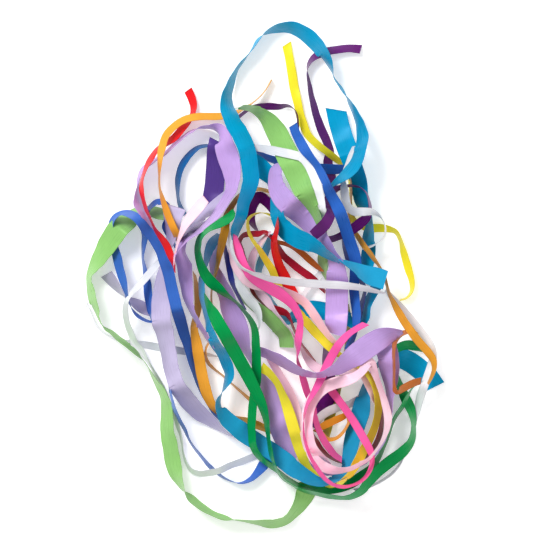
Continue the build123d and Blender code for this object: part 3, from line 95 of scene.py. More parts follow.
# name: (colour, width, [(x, y, level, seen width), ...]). A higher level lies above a lower one where
# two ribbons cross. The seen width is the ribbon's width from above, so it says how far the ribbon tilts.
RIBBONS = {
    "turquoise_loop": ("turquoise", 22, [
    (-33, 36, 8, 5), (-31, 43, 9, 6), (-29, 50, 12, 9), (-26, 60, 14, 10), (-23.5, 70, 14, 11),
    (-21, 80, 13, 12), (-17.5, 90, 12, 15), (-15, 100, 12, 17), (-15.5, 112, 12, 18), (-18, 128, 12, 18),
    (-22, 140, 12, 18), (-27, 150, 12, 18), (-33, 160, 12, 17), (-37, 170, 12, 16), (-40, 180, 12, 13),
    (-40, 190, 12, 10), (-37, 200, 12, 8), (-33, 212, 12, 5), (-28, 221, 12, 2), (-20, 231, 12, 1),
    (-13, 241, 12, 3), (-7, 250, 12, 4), (1, 257, 12, 3), (15, 262, 12, 8), (31, 262, 12, 12),
    (47, 252, 12, 15), (60, 237, 12, 12), (69, 221, 12, 3), (74, 208, 12, 2), (81, 198, 12, 4),
    (89, 184, 12, 3), (97, 168, 12, 6), (101, 155, 12, 9), (102, 143, 12, 10), (100, 130, 12, 11),
    (95, 117, 12, 13), (87, 107, 12, 12), (79, 100, 12, 9), (71, 92, 11, 4)]),
    "turquoise_cross": ("turquoise", 22, [
    (-18, 126, 8, 16), (-10, 119, 8, 18), (-1, 111, 9, 19), (8, 103, 9, 16), (12, 90, 6, 12), (12, 76, 7, 12),
    (14, 60, 10, 14), (22, 47, 11, 18), (33, 39, 11, 19), (45, 34, 11, 17), (55, 29, 11, 13), (64, 23, 12, 8),
    (72, 18, 13, 4), (80, 13, 13, 3), (90, 8.5, 13, 6), (100, 3.5, 13, 14), (110, -0.5, 14, 20),
    (119, -3, 14, 21), (127, -5.5, 14, 20)]),
    "turquoise_under": ("turquoise", 22, [
    (120, -9, 6, 12), (113, -22, 6, 9), (107.5, -34, 6, 8), (105, -45, 6, 11), (96, -50, 5, 12),
    (84, -45, 5, 14), (70, -40, 5, 18), (55, -37, 5, 19), (42, -37, 5, 17), (31, -44, 5, 12), (23, -48, 5, 9),
    (14, -40, 4, 8), (6, -26, 4, 5), (-2, -12, 4, 5), (-7, 1, 5, 6), (-5, 12, 5, 8), (0, 24, 5, 9),
    (5, 36, 5, 8), (9, 45, 5, 5)]),
    "turquoise_end": ("turquoise", 22, [
    (75.5, 176, 5, 21), (79, 160, 5, 21), (84, 143, 5, 21), (90, 125, 5, 20), (96, 109, 5, 18),
    (100, 95, 5, 17), (101, 85, 5, 16), (104, 74, 5, 13), (109, 66, 5, 8), (111, 57, 5, 5), (111, 48, 5, 8),
    (110, 39, 5, 12), (110.5, 30, 5, 13), (109.5, 20, 5, 15), (108, 11, 5, 14), (106, 3, 5, 12)]),
    "yellow_top": ("yellow", 10, [
    (23, 246, 7, 10), (26, 230, 7, 9), (29, 213, 7, 10), (31, 200, 7, 10), (35, 182, 7, 9), (37.5, 170, 7, 9),
    (41, 160, 7, 9), (45, 150, 7, 8), (54, 140, 8, 7), (65, 131, 8, 7), (77, 122, 6, 6), (85, 115, 3.4, 5),
    (90, 104, 3, 4), (91, 90, 3, 3), (91, 75, 3, 3), (93, 60, 3, 6), (102, 53, 3, 7), (112, 50, 3, 9),
    (122, 50, 3, 9), (131, 49, 4, 7), (139, 46, 4, 4), (144, 37, 4, 3), (147.5, 24, 4, 7), (152, 8, 4, 8),
    (156, -6, 5, 6), (156, -17, 6, 3), (151, -24, 7, 2), (143, -27, 7, 1.5)]),
    "purple_top": ("plum", 13, [
    (102, 240, 7, 10), (90, 241, 7, 9), (75, 239.5, 7, 9), (64, 237, 7, 9), (53, 232, 7, 8), (47, 225, 7, 4),
    (45, 218, 7, 1.5), (46, 209, 7, 3), (47.5, 200, 7, 5), (49.5, 190, 7, 6), (52, 180, 7, 7.5),
    (54.5, 170, 7, 8), (58, 160, 7, 9), (62, 150, 7, 10), (66, 141, 7, 9), (69, 131, 6, 9), (67, 120, 5, 10),
    (69, 108, 5, 11), (71, 96, 5, 8), (68, 84, 5, 5), (67, 74, 7, 6), (69, 66, 12.6, 8), (65, 56, 13, 12),
    (58, 48, 13, 12), (50, 41, 10, 11)]),
    "purple_arch": ("plum", 10, [
    (-29, 167, 6, 3), (-23, 172, 6, 3), (-16, 177, 7, 3), (-8, 179, 8, 6), (4, 179.5, 8, 7), (15, 179, 8, 6),
    (22, 180, 8, 3), (27, 179, 8, 1.5), (32, 175, 8, 1.5), (34.5, 168, 8, 2), (35, 160, 8, 2), (35, 152, 8, 3),
    (36, 144, 8, 3)]),
    "blue_top": ("blue", 13, [
    (29.5, 157, 15, 9), (32, 149, 15, 9), (36.5, 140, 15.5, 10), (41.5, 131, 16, 10), (48, 122, 16, 8),
    (54, 114, 14, 7), (59, 105, 13, 7), (64, 95, 13, 8), (68, 85, 13, 10), (73, 76, 12, 12), (78, 66, 12, 13),
    (82, 56, 12, 13), (86, 45, 12, 12.5), (90, 33, 12, 12.5), (94, 22, 11, 13), (96, 11, 10, 12),
    (95, 0, 9, 11), (94, -12, 8, 10), (95, -25, 8, 10), (96.5, -38, 8, 9), (96.5, -50, 8, 7), (94, -60, 8, 6),
    (91, -69, 8, 7), (87, -79, 8, 6)]),
    "navy_right": ("navy", 13, [
    (83, 38, 6, 2), (85, 28, 7, 4), (88.5, 18, 7, 7), (94, 7, 6, 8), (101, -4, 6, 6), (106, -14, 6, 3),
    (105, -22, 6, 3), (102, -32, 6, 5), (99, -43, 6, 6), (96, -53, 6, 5)]),
    "lightgreen_top": ("lightgreen", 25, [
    (-27, 177, 9, 2), (-20, 177, 9, 4), (-11, 175, 9, 7), (-2, 169, 11, 12), (6, 160, 13, 19),
    (13, 149, 13, 22), (19, 136, 13, 23), (25, 123, 13, 24), (31, 110, 13, 23), (37, 97, 13, 21),
    (43, 84, 13, 18), (49, 73, 11.5, 13), (54, 64, 11, 9), (57, 57.5, 10.8, 6), (59.5, 51, 10.6, 4)]),
    "lightgreen_low": ("lightgreen", 25, [
    (60, 46, 6, 3), (61.5, 35, 6, 4), (63, 26, 6, 9), (61, 17, 6, 12), (63, 8, 6, 8), (65.5, -3, 6, 3)]),
    "white_top": ("white", 10, [
    (-14, 136, 10, 6), (-6, 134, 13, 7), (5, 132, 14, 8), (17, 129, 14, 8.5), (29, 126, 14, 9),
    (38, 123, 15, 8), (45, 115, 15, 8), (50, 106, 14, 9.5), (54, 95, 14, 9.5), (57, 84, 13, 8.5),
    (59.5, 74, 12, 7), (60.5, 65, 10, 5), (61, 56, 7, 3), (64, 42, 4, 2), (67, 26, 4, 2), (66, 13, 4, 4),
    (60, 2, 4, 8), (53, -6, 4, 8), (46, -14, 4, 6), (41, -22, 4, 5), (38, -29, 4, 4)]),
    "blue_under": ("blue", 13, [
    (-17, 133, 5, 5), (-8, 130, 6, 4), (1, 125.5, 7, 6), (11, 122, 8, 8), (24, 118, 8, 9), (38, 115, 8, 9),
    (52, 113, 8, 10), (63, 112.5, 7, 10), (74, 112, 6, 10), (84, 112, 6, 9)]),
    "lavender_arch": ("lavender", 25, [
    (-108, 37, 6, 1), (-113, 43, 6, 2), (-118, 50, 6, 5), (-125, 60, 6, 8), (-130, 70, 6, 8), (-133, 80, 7, 4),
    (-134, 91, 7, 2.5), (-133.5, 102, 7, 4), (-130, 112, 7, 6), (-121, 119, 7, 5), (-108, 128, 7, 5),
    (-92, 142, 7, 5), (-77, 153, 8, 4), (-62, 156.5, 9, 2), (-51, 154, 10, 5), (-45, 146, 11, 14),
    (-42, 135, 11, 22), (-38, 122, 11, 23), (-35, 110, 11, 20), (-34, 99, 11, 15), (-36, 89, 11, 11),
    (-41, 79, 12, 10), (-47, 69, 12, 9), (-54, 60, 12, 8), (-63, 51, 11, 6), (-72, 43, 10, 4), (-82, 35, 10, 3),
    (-90, 26, 9, 2)]),
    "lilac_fold": ("lilac", 22, [
    (-33, 93, 7, 6), (-40, 85, 9, 11), (-48, 78, 10, 12), (-57, 70, 10, 12), (-66, 62, 10, 10),
    (-74, 54, 10, 7), (-81, 46, 10, 4), (-88, 37, 9, 2)]),
    "lavender_inner": ("lavender", 25, [
    (-55, 62, 9, 1), (-65, 55, 9, 5), (-75, 48, 9, 7), (-83, 40, 9, 8), (-87, 30, 8, 9), (-87, 20, 8, 13),
    (-85, 9, 8, 16), (-84, -3, 8, 15), (-82.5, -14, 8, 13), (-81, -24, 9, 11), (-78.5, -34, 9, 8),
    (-75, -42, 9, 5), (-71, -49, 9, 6), (-66, -58, 8, 6), (-61, -67, 8, 4), (-56, -75, 7, 2)]),
    # Its dark violet is painted shade for this layer lying at the back, under the lavender ribbons.
    "violet_back": ("violet", 22, [
    (-50, 142, 8, 18), (-51, 130, 8, 21), (-52, 118, 8, 21), (-53, 106, 8, 21), (-54, 94, 8, 21),
    (-56, 83, 8, 21), (-59, 73, 7, 18)]),
    "red_left": ("red", 10, [
    (-82, 197, 8, 9), (-78, 188, 8, 9), (-76, 180, 8, 8), (-77, 172, 7, 5), (-81, 164, 7, 6), (-87, 157, 8, 8),
    (-96, 146, 8, 8), (-105, 139, 7, 6), (-114, 133, 8, 5), (-121, 122, 8, 6), (-126, 111, 8, 4),
    (-129.5, 100, 8, 3), (-130, 90, 8, 6), (-128, 80, 9, 4), (-124.5, 69, 9, 3), (-120, 59, 9, 2),
    (-115.5, 49, 9, 3), (-109, 40, 10, 6), (-103, 31, 10, 8), (-99, 21, 10, 8), (-96, 12, 10, 4),
    (-94.5, 3, 10, 1.5)]),
    "orange_arch": ("orange", 10, [
    (7, 208, 7, 1.5), (0, 196, 7, 1.5), (-8, 187, 7, 1.5), (-17, 180, 7, 2), (-27, 174, 7, 4), (-38, 170, 8, 7),
    (-50, 168.5, 9, 8), (-70, 168, 9, 8), (-85, 165, 9, 8), (-97, 157, 9, 8), (-105, 147, 9, 8),
    (-109, 133, 9, 8), (-111, 118, 9, 5), (-111.5, 103, 9, 2), (-111, 92, 9, 2), (-108, 80, 9, 5),
    (-103, 66, 9, 7), (-97, 52, 9, 8), (-92, 41, 8, 7), (-90, 31, 8, 4), (-93, 20, 7, 2)]),
    "teal_arch": ("teal", 13, [
    (-54, 137, 5, 4), (-62, 137.5, 6, 4), (-70, 136, 7, 5), (-80, 128, 7, 7), (-88, 117, 7, 8),
    (-92, 105, 7, 7), (-93, 93, 7, 5), (-92.5, 82, 6, 2.5), (-90, 73, 5, 5), (-85, 64, 4, 4)]),
    "lightgreen_left": ("lightgreen", 25, [
    (-101, 60, 2, 8), (-112, 65, 2, 13), (-124, 68, 2, 11), (-136, 66, 3, 12), (-147, 57, 4, 21),
    (-158, 45, 4, 23), (-168, 31, 4, 21), (-176, 18, 4, 17), (-182, 8, 4, 12), (-186.5, -2, 4, 6),
    (-186, -13, 4, 9), (-182.5, -25, 4, 10), (-179, -36, 4, 7), (-176, -46, 4, 2.5), (-171, -54, 4, 1.5),
    (-162, -61, 4, 2), (-152, -69, 4, 5), (-142, -77, 4, 4), (-132, -86, 4, 2), (-124, -97, 4, 2),
    (-116, -112, 3, 5), (-109, -124, 3, 9), (-105, -136, 3, 12), (-104, -150, 3, 14), (-104, -165, 3, 15),
    (-101, -180, 3, 17), (-99, -193, 3, 18), (-96, -206, 3, 17), (-91, -219, 3, 10), (-85, -230, 3, 4),
    (-76, -239, 3, 6), (-61, -250, 3, 5), (-43, -257.5, 3, 3), (-22, -261, 3, 4), (-5, -263, 3, 8),
    (10, -264, 3, 12), (23, -260, 3, 11), (32, -251, 2, 12), (38, -242, 2, 17), (43, -232, 1, 21),
    (47, -221, 1, 21)]),
    "blue_left": ("blue", 13, [
    (-112, -50, 4, 2), (-124, -48.5, 4, 2), (-133, -44, 4, 3), (-139.5, -37, 4, 2), (-143.5, -29, 4, 2),
    (-146, -20, 4, 4), (-149, -8, 4, 8), (-153, 4, 4, 9), (-156, 16, 4, 10), (-160, 30, 3, 9), (-163, 43, 2, 6),
    (-162.5, 54, 2, 5), (-157, 62, 3, 5), (-148, 65.5, 5, 3), (-139, 63, 7, 6), (-131, 56, 8, 8),
    (-124, 47, 9, 10), (-117, 39, 9, 11), (-110, 27, 9, 11), (-105, 14, 9, 12), (-101, 1, 9, 12),
    (-98, -13, 9, 12), (-94, -29, 9, 12), (-90, -45, 8, 12), (-86, -61, 7, 11), (-81, -78, 6, 9),
    (-77, -95, 6, 6), (-73, -110, 6, 4), (-68, -123, 5, 3), (-61, -135, 5, 4), (-55, -144, 5, 5),
    (-48, -152, 5, 4)]),
    "blue_low": ("blue", 13, [
    (-95, 29, 5, 2), (-98, 36, 5, 3), (-103, 44, 5, 4), (-105.5, 54, 5, 3), (-101, 64, 4, 4), (-104, 74, 4, 6),
    (-113, 77.5, 4, 7), (-121, 72, 4, 5), (-127, 61, 4, 4), (-129, 50, 4, 4), (-127.5, 41, 4, 7),
    (-129, 30, 4, 5), (-130, 20, 4, 2.5), (-128.5, 10, 4, 3.5), (-127, 1, 4, 6), (-125, -9, 4, 9),
    (-124, -19, 4, 9), (-122.5, -29, 4, 7), (-121, -39, 4, 5), (-118, -50, 3, 3), (-112, -70, 3, 3),
    (-106, -93, 3, 3), (-101.5, -112, 3, 2.5), (-99, -127, 3, 2.5), (-94, -145, 3, 4), (-86, -162, 3, 4),
    (-79, -178, 3, 2.5), (-70, -190, 3, 3.5), (-59, -203, 2, 5), (-49, -212, 2, 4), (-38, -218.5, 2, 2.5),
    (-26, -221, 2, 1.5), (-16, -217.5, 2, 4), (-8, -210, 2, 8), (-1, -201, 3, 12), (5, -192, 4, 11),
    (10, -182, 4, 8)]),
    "lilac_end": ("lilac", 22, [
    (-168.5, 1, 3, 14), (-162, -7, 3, 12), (-154, -16, 3, 7), (-147, -24, 3, 2), (-140, -28.5, 3, 8),
    (-133, -33, 3, 13), (-125, -37, 3, 12), (-116, -42, 3, 8)]),
    "white_left": ("white", 10, [
    (-108, 19, 6, 5), (-114, 12, 6, 7), (-121, 3, 6, 8), (-128, -5, 6, 8), (-135, -14, 6, 6), (-141, -21, 6, 3),
    (-145, -28, 6, 4), (-147, -38, 5, 6), (-146, -50, 4, 6), (-142, -62, 4, 7), (-138, -72, 4, 8),
    (-132, -80, 3, 8), (-127, -88, 3, 4), (-121, -98, 3, 3), (-115, -108, 2, 4), (-108, -120, 1, 4),
    (-102, -135, 1, 4), (-97, -148, 1, 4), (-93, -160, 2, 5), (-89, -173, 2, 3), (-87, -188, 2, 2),
    (-84, -199, 2, 3), (-79, -207, 3, 5), (-70, -211, 3, 7), (-60, -210, 3, 7), (-48, -207, 3, 7),
    (-36, -202, 3, 7), (-24, -198, 3, 8), (-12, -193, 3, 8), (-2, -188, 3, 7)]),
    "white_left_low": ("white", 10, [
    (-190, -32, 2, 5), (-186, -42, 2, 5), (-180, -53, 2, 3), (-172, -61, 2, 2), (-164, -66, 1, 2),
    (-152, -70, 1, 4), (-140, -72, 2, 6), (-126, -74.5, 2, 8), (-113, -77, 2, 8), (-100, -79, 2, 8),
    (-88, -81, 2, 8), (-74, -83, 2, 6), (-62, -84.5, 2, 4), (-50, -87, 2, 2)]),
    "lavender_left": ("lilac", 25, [
    (-94, 72, 6, 23), (-97, 60, 6, 20), (-99, 47, 6, 13), (-101, 33, 6, 8), (-105, 18, 6, 6), (-108, 5, 7, 9),
    (-109.5, -8, 7, 14), (-110, -20, 7, 18), (-109.5, -33, 7, 20), (-108, -50, 7, 20), (-104, -68, 7, 18),
    (-101, -85, 7, 17), (-98, -100, 7, 17), (-93, -113, 7, 16), (-86, -126, 7, 17), (-77, -138, 7, 18),
    (-67, -148, 7, 17), (-56, -157, 7, 12), (-45, -165, 7, 6), (-33, -171.5, 7, 2)]),
    "pink_left": ("lightpink", 13, [
    (-62, 80, 11.6, 10), (-68, 73, 11.6, 12), (-76, 63, 11.6, 11), (-83, 52, 11.8, 8), (-88, 41, 11.8, 4.5),
    (-91.5, 30, 11.8, 2.5), (-94, 20, 11, 1.5), (-95, 9, 11, 1)]),
    "green_inner": ("emerald", 13, [
    (-32, 67, 11, 5), (-38, 60, 13, 9), (-46, 54, 14, 9), (-55, 49, 14, 6), (-62, 44, 14, 4), (-67, 38, 14, 5),
    (-70, 28, 14, 6), (-69, 18, 14, 7), (-66, 8, 14, 9), (-62, 0, 14, 11), (-56, -8, 14, 12),
    (-49, -14, 14, 10), (-42, -20, 14, 6), (-34, -26, 14, 3), (-27, -32, 14, 3), (-21, -39, 14, 4),
    (-16, -46, 14, 5), (-12, -54, 14, 7), (-10, -64, 14, 8), (-9.5, -75, 14, 9), (-9, -87, 13, 9.5),
    (-9, -100, 13, 10), (-9.5, -112, 12, 10), (-11, -124, 12, 9), (-13, -138, 12, 9), (-14, -152, 12, 9),
    (-14, -166, 12, 8), (-13, -178, 11, 8), (-9, -188, 11.6, 7), (-2, -196, 11.6, 6), (6, -202, 8.5, 6),
    (15, -209, 7, 5), (24, -216, 7, 5), (34, -222, 7, 6), (46, -226, 6, 8), (58, -228, 6, 10),
    (70, -227.5, 6, 11), (82, -225, 6, 12), (94, -220, 6, 12), (104, -213, 6, 11), (112, -206, 6, 9),
    (118, -198, 6, 7), (123, -190, 5, 5), (127, -180, 5, 5), (131, -170, 5, 5), (135, -158, 5, 4),
    (140, -148, 5, 4), (146, -138, 5, 5), (151, -129, 4, 4), (156, -121, 3, 2), (160, -117, 3, 1)]),
    "green_outer": ("emerald", 15, [
    (-63, -22, 12, 3), (-59, -31, 12, 7), (-54, -40, 12.5, 12), (-48, -51, 13, 14), (-41, -63, 15, 14),
    (-34, -76, 15, 14), (-27, -89, 15, 14), (-20, -102, 15, 14), (-14, -114, 15, 13), (-8, -126, 15, 12),
    (-3, -138, 15, 10), (0.5, -150, 15, 7), (2.5, -162, 14, 5), (4, -174, 13, 4), (6, -186, 12, 4),
    (9, -197, 11, 3), (14, -208, 10, 3), (20, -216, 9, 3), (30, -222.5, 8, 3), (42, -228, 8, 4),
    (55, -231.5, 8, 5), (68, -234.5, 8, 6), (80, -236.5, 8, 5), (92, -235, 8, 7), (102, -229, 8, 9),
    (109, -220, 8, 11), (117, -211, 8, 12), (126, -203, 8, 13), (136, -195, 8, 13), (146, -187, 7, 12),
    (153, -179, 7, 10), (156.5, -170, 7, 7), (157.5, -160, 6, 5), (156, -148, 5, 8), (152.5, -138, 4, 11),
    (148, -128, 3, 11), (143, -117, 3, 8), (138, -104, 3, 6), (135, -90, 3, 6), (139, -79, 4, 8),
    (149, -74.5, 5, 10), (161, -76, 5, 10), (171, -80, 5, 6)]),
    "turquoise_mid": ("turquoise", 22, [
    (-48, 43, 6, 8), (-56, 33, 7, 11), (-60, 24, 7, 9), (-62, 14, 7, 6), (-65, 4, 8, 5), (-67, -6, 9, 7),
    (-66.5, -18, 10, 7), (-64.5, -30, 10, 5), (-62, -42, 10, 4), (-59.5, -52, 10, 6), (-55, -63, 10, 8),
    (-50, -74, 10, 9), (-44, -85, 10, 11), (-39.5, -96, 10, 12), (-38, -106, 10, 10), (-41, -115, 10, 6),
    (-45, -124, 10, 2), (-48, -132, 10, 3), (-48, -140, 10, 7), (-43, -149, 10, 14), (-34, -158, 10, 17),
    (-24, -166, 10, 18), (-13, -174, 10, 18), (-2, -181, 10, 17), (9, -188, 10, 18), (20, -196, 10, 18),
    (31, -205, 10, 17), (42, -212, 10, 14), (52, -217, 10, 9), (62, -218.5, 9, 5), (72, -215, 9, 5),
    (81, -210, 9, 7), (87, -202, 8, 9), (89, -192, 7, 13), (91, -181, 7, 15), (94, -169, 7, 17),
    (98, -156, 7, 19), (102, -143, 6, 19), (104, -132, 5, 14), (105, -121, 5, 7), (109, -110, 5, 3),
    (115, -101, 5, 3), (124, -92, 4, 8), (136, -87, 3, 18), (149, -90, 3, 22), (162, -98, 3, 23),
    (173, -108, 3, 23), (181, -119, 3, 22)]),
    "orange_low": ("orange", 13, [
    (-75, 2, 5, 3), (-73, -11, 6, 5), (-71.5, -24, 7, 8), (-71.5, -36, 7, 8), (-74, -48, 7, 6),
    (-75, -57, 7, 8), (-73.5, -67, 8, 10), (-71.5, -78, 8, 12), (-69.5, -90, 8, 12), (-67.5, -102, 8, 12),
    (-65, -113, 8, 12), (-62, -124, 8, 12), (-58, -134, 8, 10), (-52, -143, 7, 7), (-42, -149, 6, 5),
    (-31, -152, 6, 5), (-20, -155, 6, 8), (-10, -159, 6, 9), (0, -163, 6, 8), (9, -167, 5, 7)]),
    "orange_mid": ("orange", 10, [
    (14, 86, 5, 3), (4, 89, 6, 4), (-7, 91, 7, 4), (-18, 89, 7, 4), (-27, 84, 8, 4), (-33, 76, 9, 5),
    (-38, 67, 10, 6), (-41, 57, 10, 8), (-42, 46, 10, 9), (-45, 34, 10, 8), (-48, 22, 9, 6), (-50, 12, 9, 4),
    (-53, 1, 8, 3), (-56, -12, 7, 2), (-57, -27, 6, 2), (-55, -41, 6, 2), (-54, -54, 6, 2), (-58, -68, 5, 2),
    (-63, -80, 5, 2), (-61, -92, 5, 4), (-54, -100, 5, 3), (-45, -107, 5, 2), (-36, -115, 5, 2),
    (-27, -123, 5, 3), (-18, -131, 5, 4), (-8, -138, 5, 4)]),
    "lavender_mid": ("lavender", 25, [
    (-50, 36, 5, 3), (-53, 24, 6, 6), (-55, 13, 6, 9), (-52, 2, 7, 12), (-47, -9, 7, 15), (-41, -22, 7, 17),
    (-37, -36, 7, 20), (-31, -50, 7, 22), (-26, -62, 7, 20), (-22, -73, 7, 14), (-18, -84, 7, 7),
    (-12, -95, 7, 5), (-5, -106, 7, 8), (2, -117, 7, 14), (7, -129, 7, 19), (11, -142, 7, 22),
    (15, -156, 7, 24), (20, -170, 7, 24), (26, -183, 7, 22), (33, -195, 6, 18)]),
    "navy_mid": ("navy", 13, [
    (-43, 33, 6, 3), (-41, 22, 7, 5), (-38, 12, 8, 8), (-35.5, 2, 9, 8), (-34.5, -7, 9, 6), (-32, -15, 8, 3),
    (-27, -25, 8, 3), (-21, -36, 8, 2)]),
    "white_mid": ("white", 13, [
    (-33, 7, 9, 2), (-29.5, -3, 10, 5), (-26, -12, 10, 8), (-21, -20, 10, 9), (-15, -28, 10, 10),
    (-9, -36, 10, 9), (-6, -44, 10, 5), (-5, -51, 10, 3), (-6, -57, 10, 1.5)]),
    "lightgreen_end": ("lightgreen", 22, [
    (-37, -8, 4, 3), (-31, -16, 5, 4), (-24, -25, 6, 6), (-14, -32, 7, 9), (-5, -38, 8, 12), (3, -44, 8, 14),
    (10, -51, 8, 15), (17, -58, 8, 15), (22, -66, 8, 15), (23, -77, 8, 15)]),
    "hotpink_left": ("hotpink", 13, [
    (-31, 42, 9, 4), (-30, 35, 11, 7), (-28, 27, 12, 9), (-25, 17, 12, 9), (-20, 7, 12, 9), (-13, -1, 12, 10),
    (-4, -8, 12, 12), (6, -14, 12, 12), (16, -20, 12, 12), (26, -28, 12, 10), (33, -37, 12, 8),
    (37, -48, 12, 6), (36.5, -58, 12, 7), (35, -68, 12, 8), (34, -77, 12, 5), (33.5, -85, 12, 2),
    (35, -93, 12, 3), (38, -102, 11, 5), (41, -112, 11, 8), (44, -122, 11, 7), (48, -132, 10, 7),
    (51, -142, 10, 5), (53.5, -153, 11, 6), (57, -164, 11, 6), (62, -174, 10, 7), (68, -183, 10, 7),
    (74, -190, 9, 6), (81, -195, 9, 5)]),
    "pink_mid": ("lightpink", 13, [
    (-38, 25, 8, 1.5), (-34, 14, 9, 5), (-28, 3, 10, 7), (-20, -5, 10, 9), (-9, -11, 10, 9), (2, -13, 10, 8),
    (14, -15, 10, 8), (24, -19, 11, 8), (33, -23, 11, 9), (42, -29, 12, 9), (49, -38, 13, 9), (55, -47, 13, 9),
    (61, -56, 13, 8), (68, -65, 13, 6), (75, -72, 12, 4), (80, -79, 11, 2)]),
    "yellow_curl": ("yellow", 13, [
    (12, 54, 8, 4), (11, 60, 9, 4), (5, 64, 9, 2), (-3, 65.5, 9, 1.5), (-11, 64, 9, 1.5), (-17, 59, 9, 2.5),
    (-18, 52, 9, 3), (-16.5, 45, 9, 3), (-13, 37, 9, 3), (-8, 30, 9, 4), (-3, 22, 9, 6), (2, 14, 9, 7),
    (7, 6, 9, 8), (10, -1, 9, 8), (13, -9, 9, 8), (17, -16, 9, 7), (22, -23, 9, 6), (30, -33, 9, 6),
    (38, -43, 9, 8), (45, -51, 9, 9), (53, -60, 9, 10), (61, -68, 9, 10), (69, -76, 9, 10), (77, -83, 8, 6),
    (88, -90, 8, 3), (98, -95, 9, 4), (105, -101, 10, 5), (111, -108, 10, 6), (116, -117, 10, 7),
    (119, -129, 10, 8), (119.5, -142, 10, 8), (117.5, -155, 10, 8), (113.5, -167, 10, 9), (108, -178, 10, 9),
    (102, -188, 10, 10), (96.5, -198, 10, 10), (91, -207, 11, 8), (84, -214, 11, 5), (76, -221, 9, 3),
    (67, -222.5, 7.5, 3), (59, -216, 7.5, 6), (51, -207, 8, 9), (44, -199, 8, 11), (39, -189, 9, 12),
    (35, -178, 9, 12.5), (31, -165, 9, 12.5), (27, -151, 9, 12.5), (23, -138, 9, 11), (18, -125, 9, 8),
    (12, -113, 9, 7), (5, -104, 9, 8), (-4, -97, 9, 11)]),
    "red_mid": ("red", 13, [
    (14, 58, 12, 2), (12.5, 49, 12, 4), (10.5, 39, 12, 5), (10.5, 28, 11, 7), (13, 17, 10, 8), (17, 6, 10, 10),
    (21, -2, 9, 11), (25, -12, 8, 12), (31, -21, 8, 11), (37, -29, 7, 6)]),
    "crimson_inner": ("crimson", 10, [
    (64, -18, 5, 3), (57, -10, 6, 6), (48, -2, 8, 8), (38, 5, 8, 8), (29, 12, 8, 8), (20, 20, 8, 7),
    (14, 29, 7, 5), (8, 38, 7, 3), (1, 44, 7, 3), (-7, 43.5, 7, 6), (-16, 43.5, 8, 6), (-23, 42, 8, 5),
    (-27, 36, 8, 4), (-24.5, 26, 8, 5), (-21, 15, 8, 4), (-16, 4, 7, 3), (-14.5, -6, 7, 5), (-13, -15, 7, 7),
    (-8, -23, 7, 4), (-1, -30, 7, 3), (8, -35, 7, 7), (16, -38, 7, 9), (23, -41, 8, 6), (27, -48, 8, 2),
    (31, -58, 8, 2), (35, -67, 8, 2), (40, -75, 8, 2), (46, -83, 8, 3), (52, -91, 8, 3)]),
    # An orange ribbon in shade, coloured darker: painted shade.
    "rust_mid": ("rust", 10, [
    (12, 35, 8, 4), (21, 33, 7, 3.5), (30, 29, 7, 4), (38, 24, 7, 6), (46, 17, 7, 7), (54, 10, 7, 6),
    (60, 4, 7, 3)]),
    "white_band": ("white", 10, [
    (-39, 52, 8, 2), (-37, 40, 10.6, 3), (-35.5, 29, 12.6, 3.5), (-31, 17, 13.6, 3), (-24, 8, 14, 2),
    (-15, 3, 14, 2.5), (-6, 0, 13, 4), (6, -4, 13, 6), (20, -6, 14, 7), (35, -8, 14, 8), (50, -9, 14, 8.5),
    (66, -10, 14, 8.5), (82, -11, 14, 8), (95, -12.5, 14, 7), (106, -14.5, 15, 6), (116, -17, 15, 4),
    (126, -19, 15, 2)]),
    "lavender_diag": ("lavender", 25, [
    (14, 118, 11, 8), (11, 109, 12, 13), (11, 98, 12, 16), (15, 86, 12, 19), (24, 75, 11, 20), (34, 66, 10, 19),
    (44, 57, 9, 18), (53, 48, 9, 17), (60, 38, 9, 14), (66, 29, 9, 10), (71, 20, 9, 11), (75, 10, 10, 17),
    (76, -2, 11, 21), (76, -15, 12, 23), (76, -28, 12, 23.5), (75.5, -41, 12, 24), (75, -53, 12, 23),
    (75, -63, 11, 15)]),
    "plum_arch": ("plum", 13, [
    (-8, 46, 6, 2), (-13, 54, 6, 6), (-16, 64, 6, 11), (-13, 76, 6, 12), (-6, 83, 6, 12), (2, 78, 6, 11),
    (9, 69, 6, 9), (15, 59, 6, 7), (27, 48, 5, 6), (42, 41, 5, 6), (57, 37, 5, 6), (70, 38, 6, 7),
    (79, 41, 7, 7), (88, 45, 8, 9), (95, 50, 8, 11), (102, 56, 8, 11), (108, 62, 7, 8), (110.5, 70, 7, 4),
    (109.5, 78, 7, 3), (107, 86, 7, 2), (101, 92, 7, 2), (92, 94, 7, 2), (83, 93, 7, 3), (75, 90, 7, 6),
    (68, 86, 7, 6)]),
    "white_right": ("white", 10, [
    (94, 136, 7, 3), (91, 128, 8, 4), (88, 119, 9, 5), (84, 109, 9, 4), (82, 100, 8, 4), (83.5, 91, 8, 8),
    (84.5, 82, 8, 9), (87, 73, 9, 8), (93, 67, 9, 8), (102, 66.5, 9, 9), (112, 66, 9, 7), (119, 63, 8, 2),
    (124, 58, 7, 1.5), (127, 51, 6, 2), (127, 44, 6, 2), (124, 38, 6, 1.5), (118, 33, 7, 1.5), (111, 30, 7, 2),
    (103, 28, 7, 2)]),
    "orange_right": ("orange", 10, [
    (91, 101, 6, 1), (91, 90, 6, 2), (91, 79, 6, 2), (89, 68, 6, 2), (89, 58, 6, 2.5), (93, 49, 8, 3.5),
    (98, 41, 8, 4.5), (104, 32, 8, 5), (110, 24, 8, 5), (116, 16, 8, 4), (121, 9, 8, 2), (126, 0, 7, 2),
    (129, -12, 7, 2.5), (132, -21, 6, 3), (137, -31, 6, 6), (143, -42, 7, 8), (149, -52, 7, 8),
    (156, -62, 7, 8.5), (164, -72, 7, 8.5), (172, -81, 7, 8.5), (178, -90, 7, 7), (179, -98, 7, 4),
    (176, -107, 6, 3), (172, -115, 6, 1.5)]),
    "white_far_right": ("white", 10, [
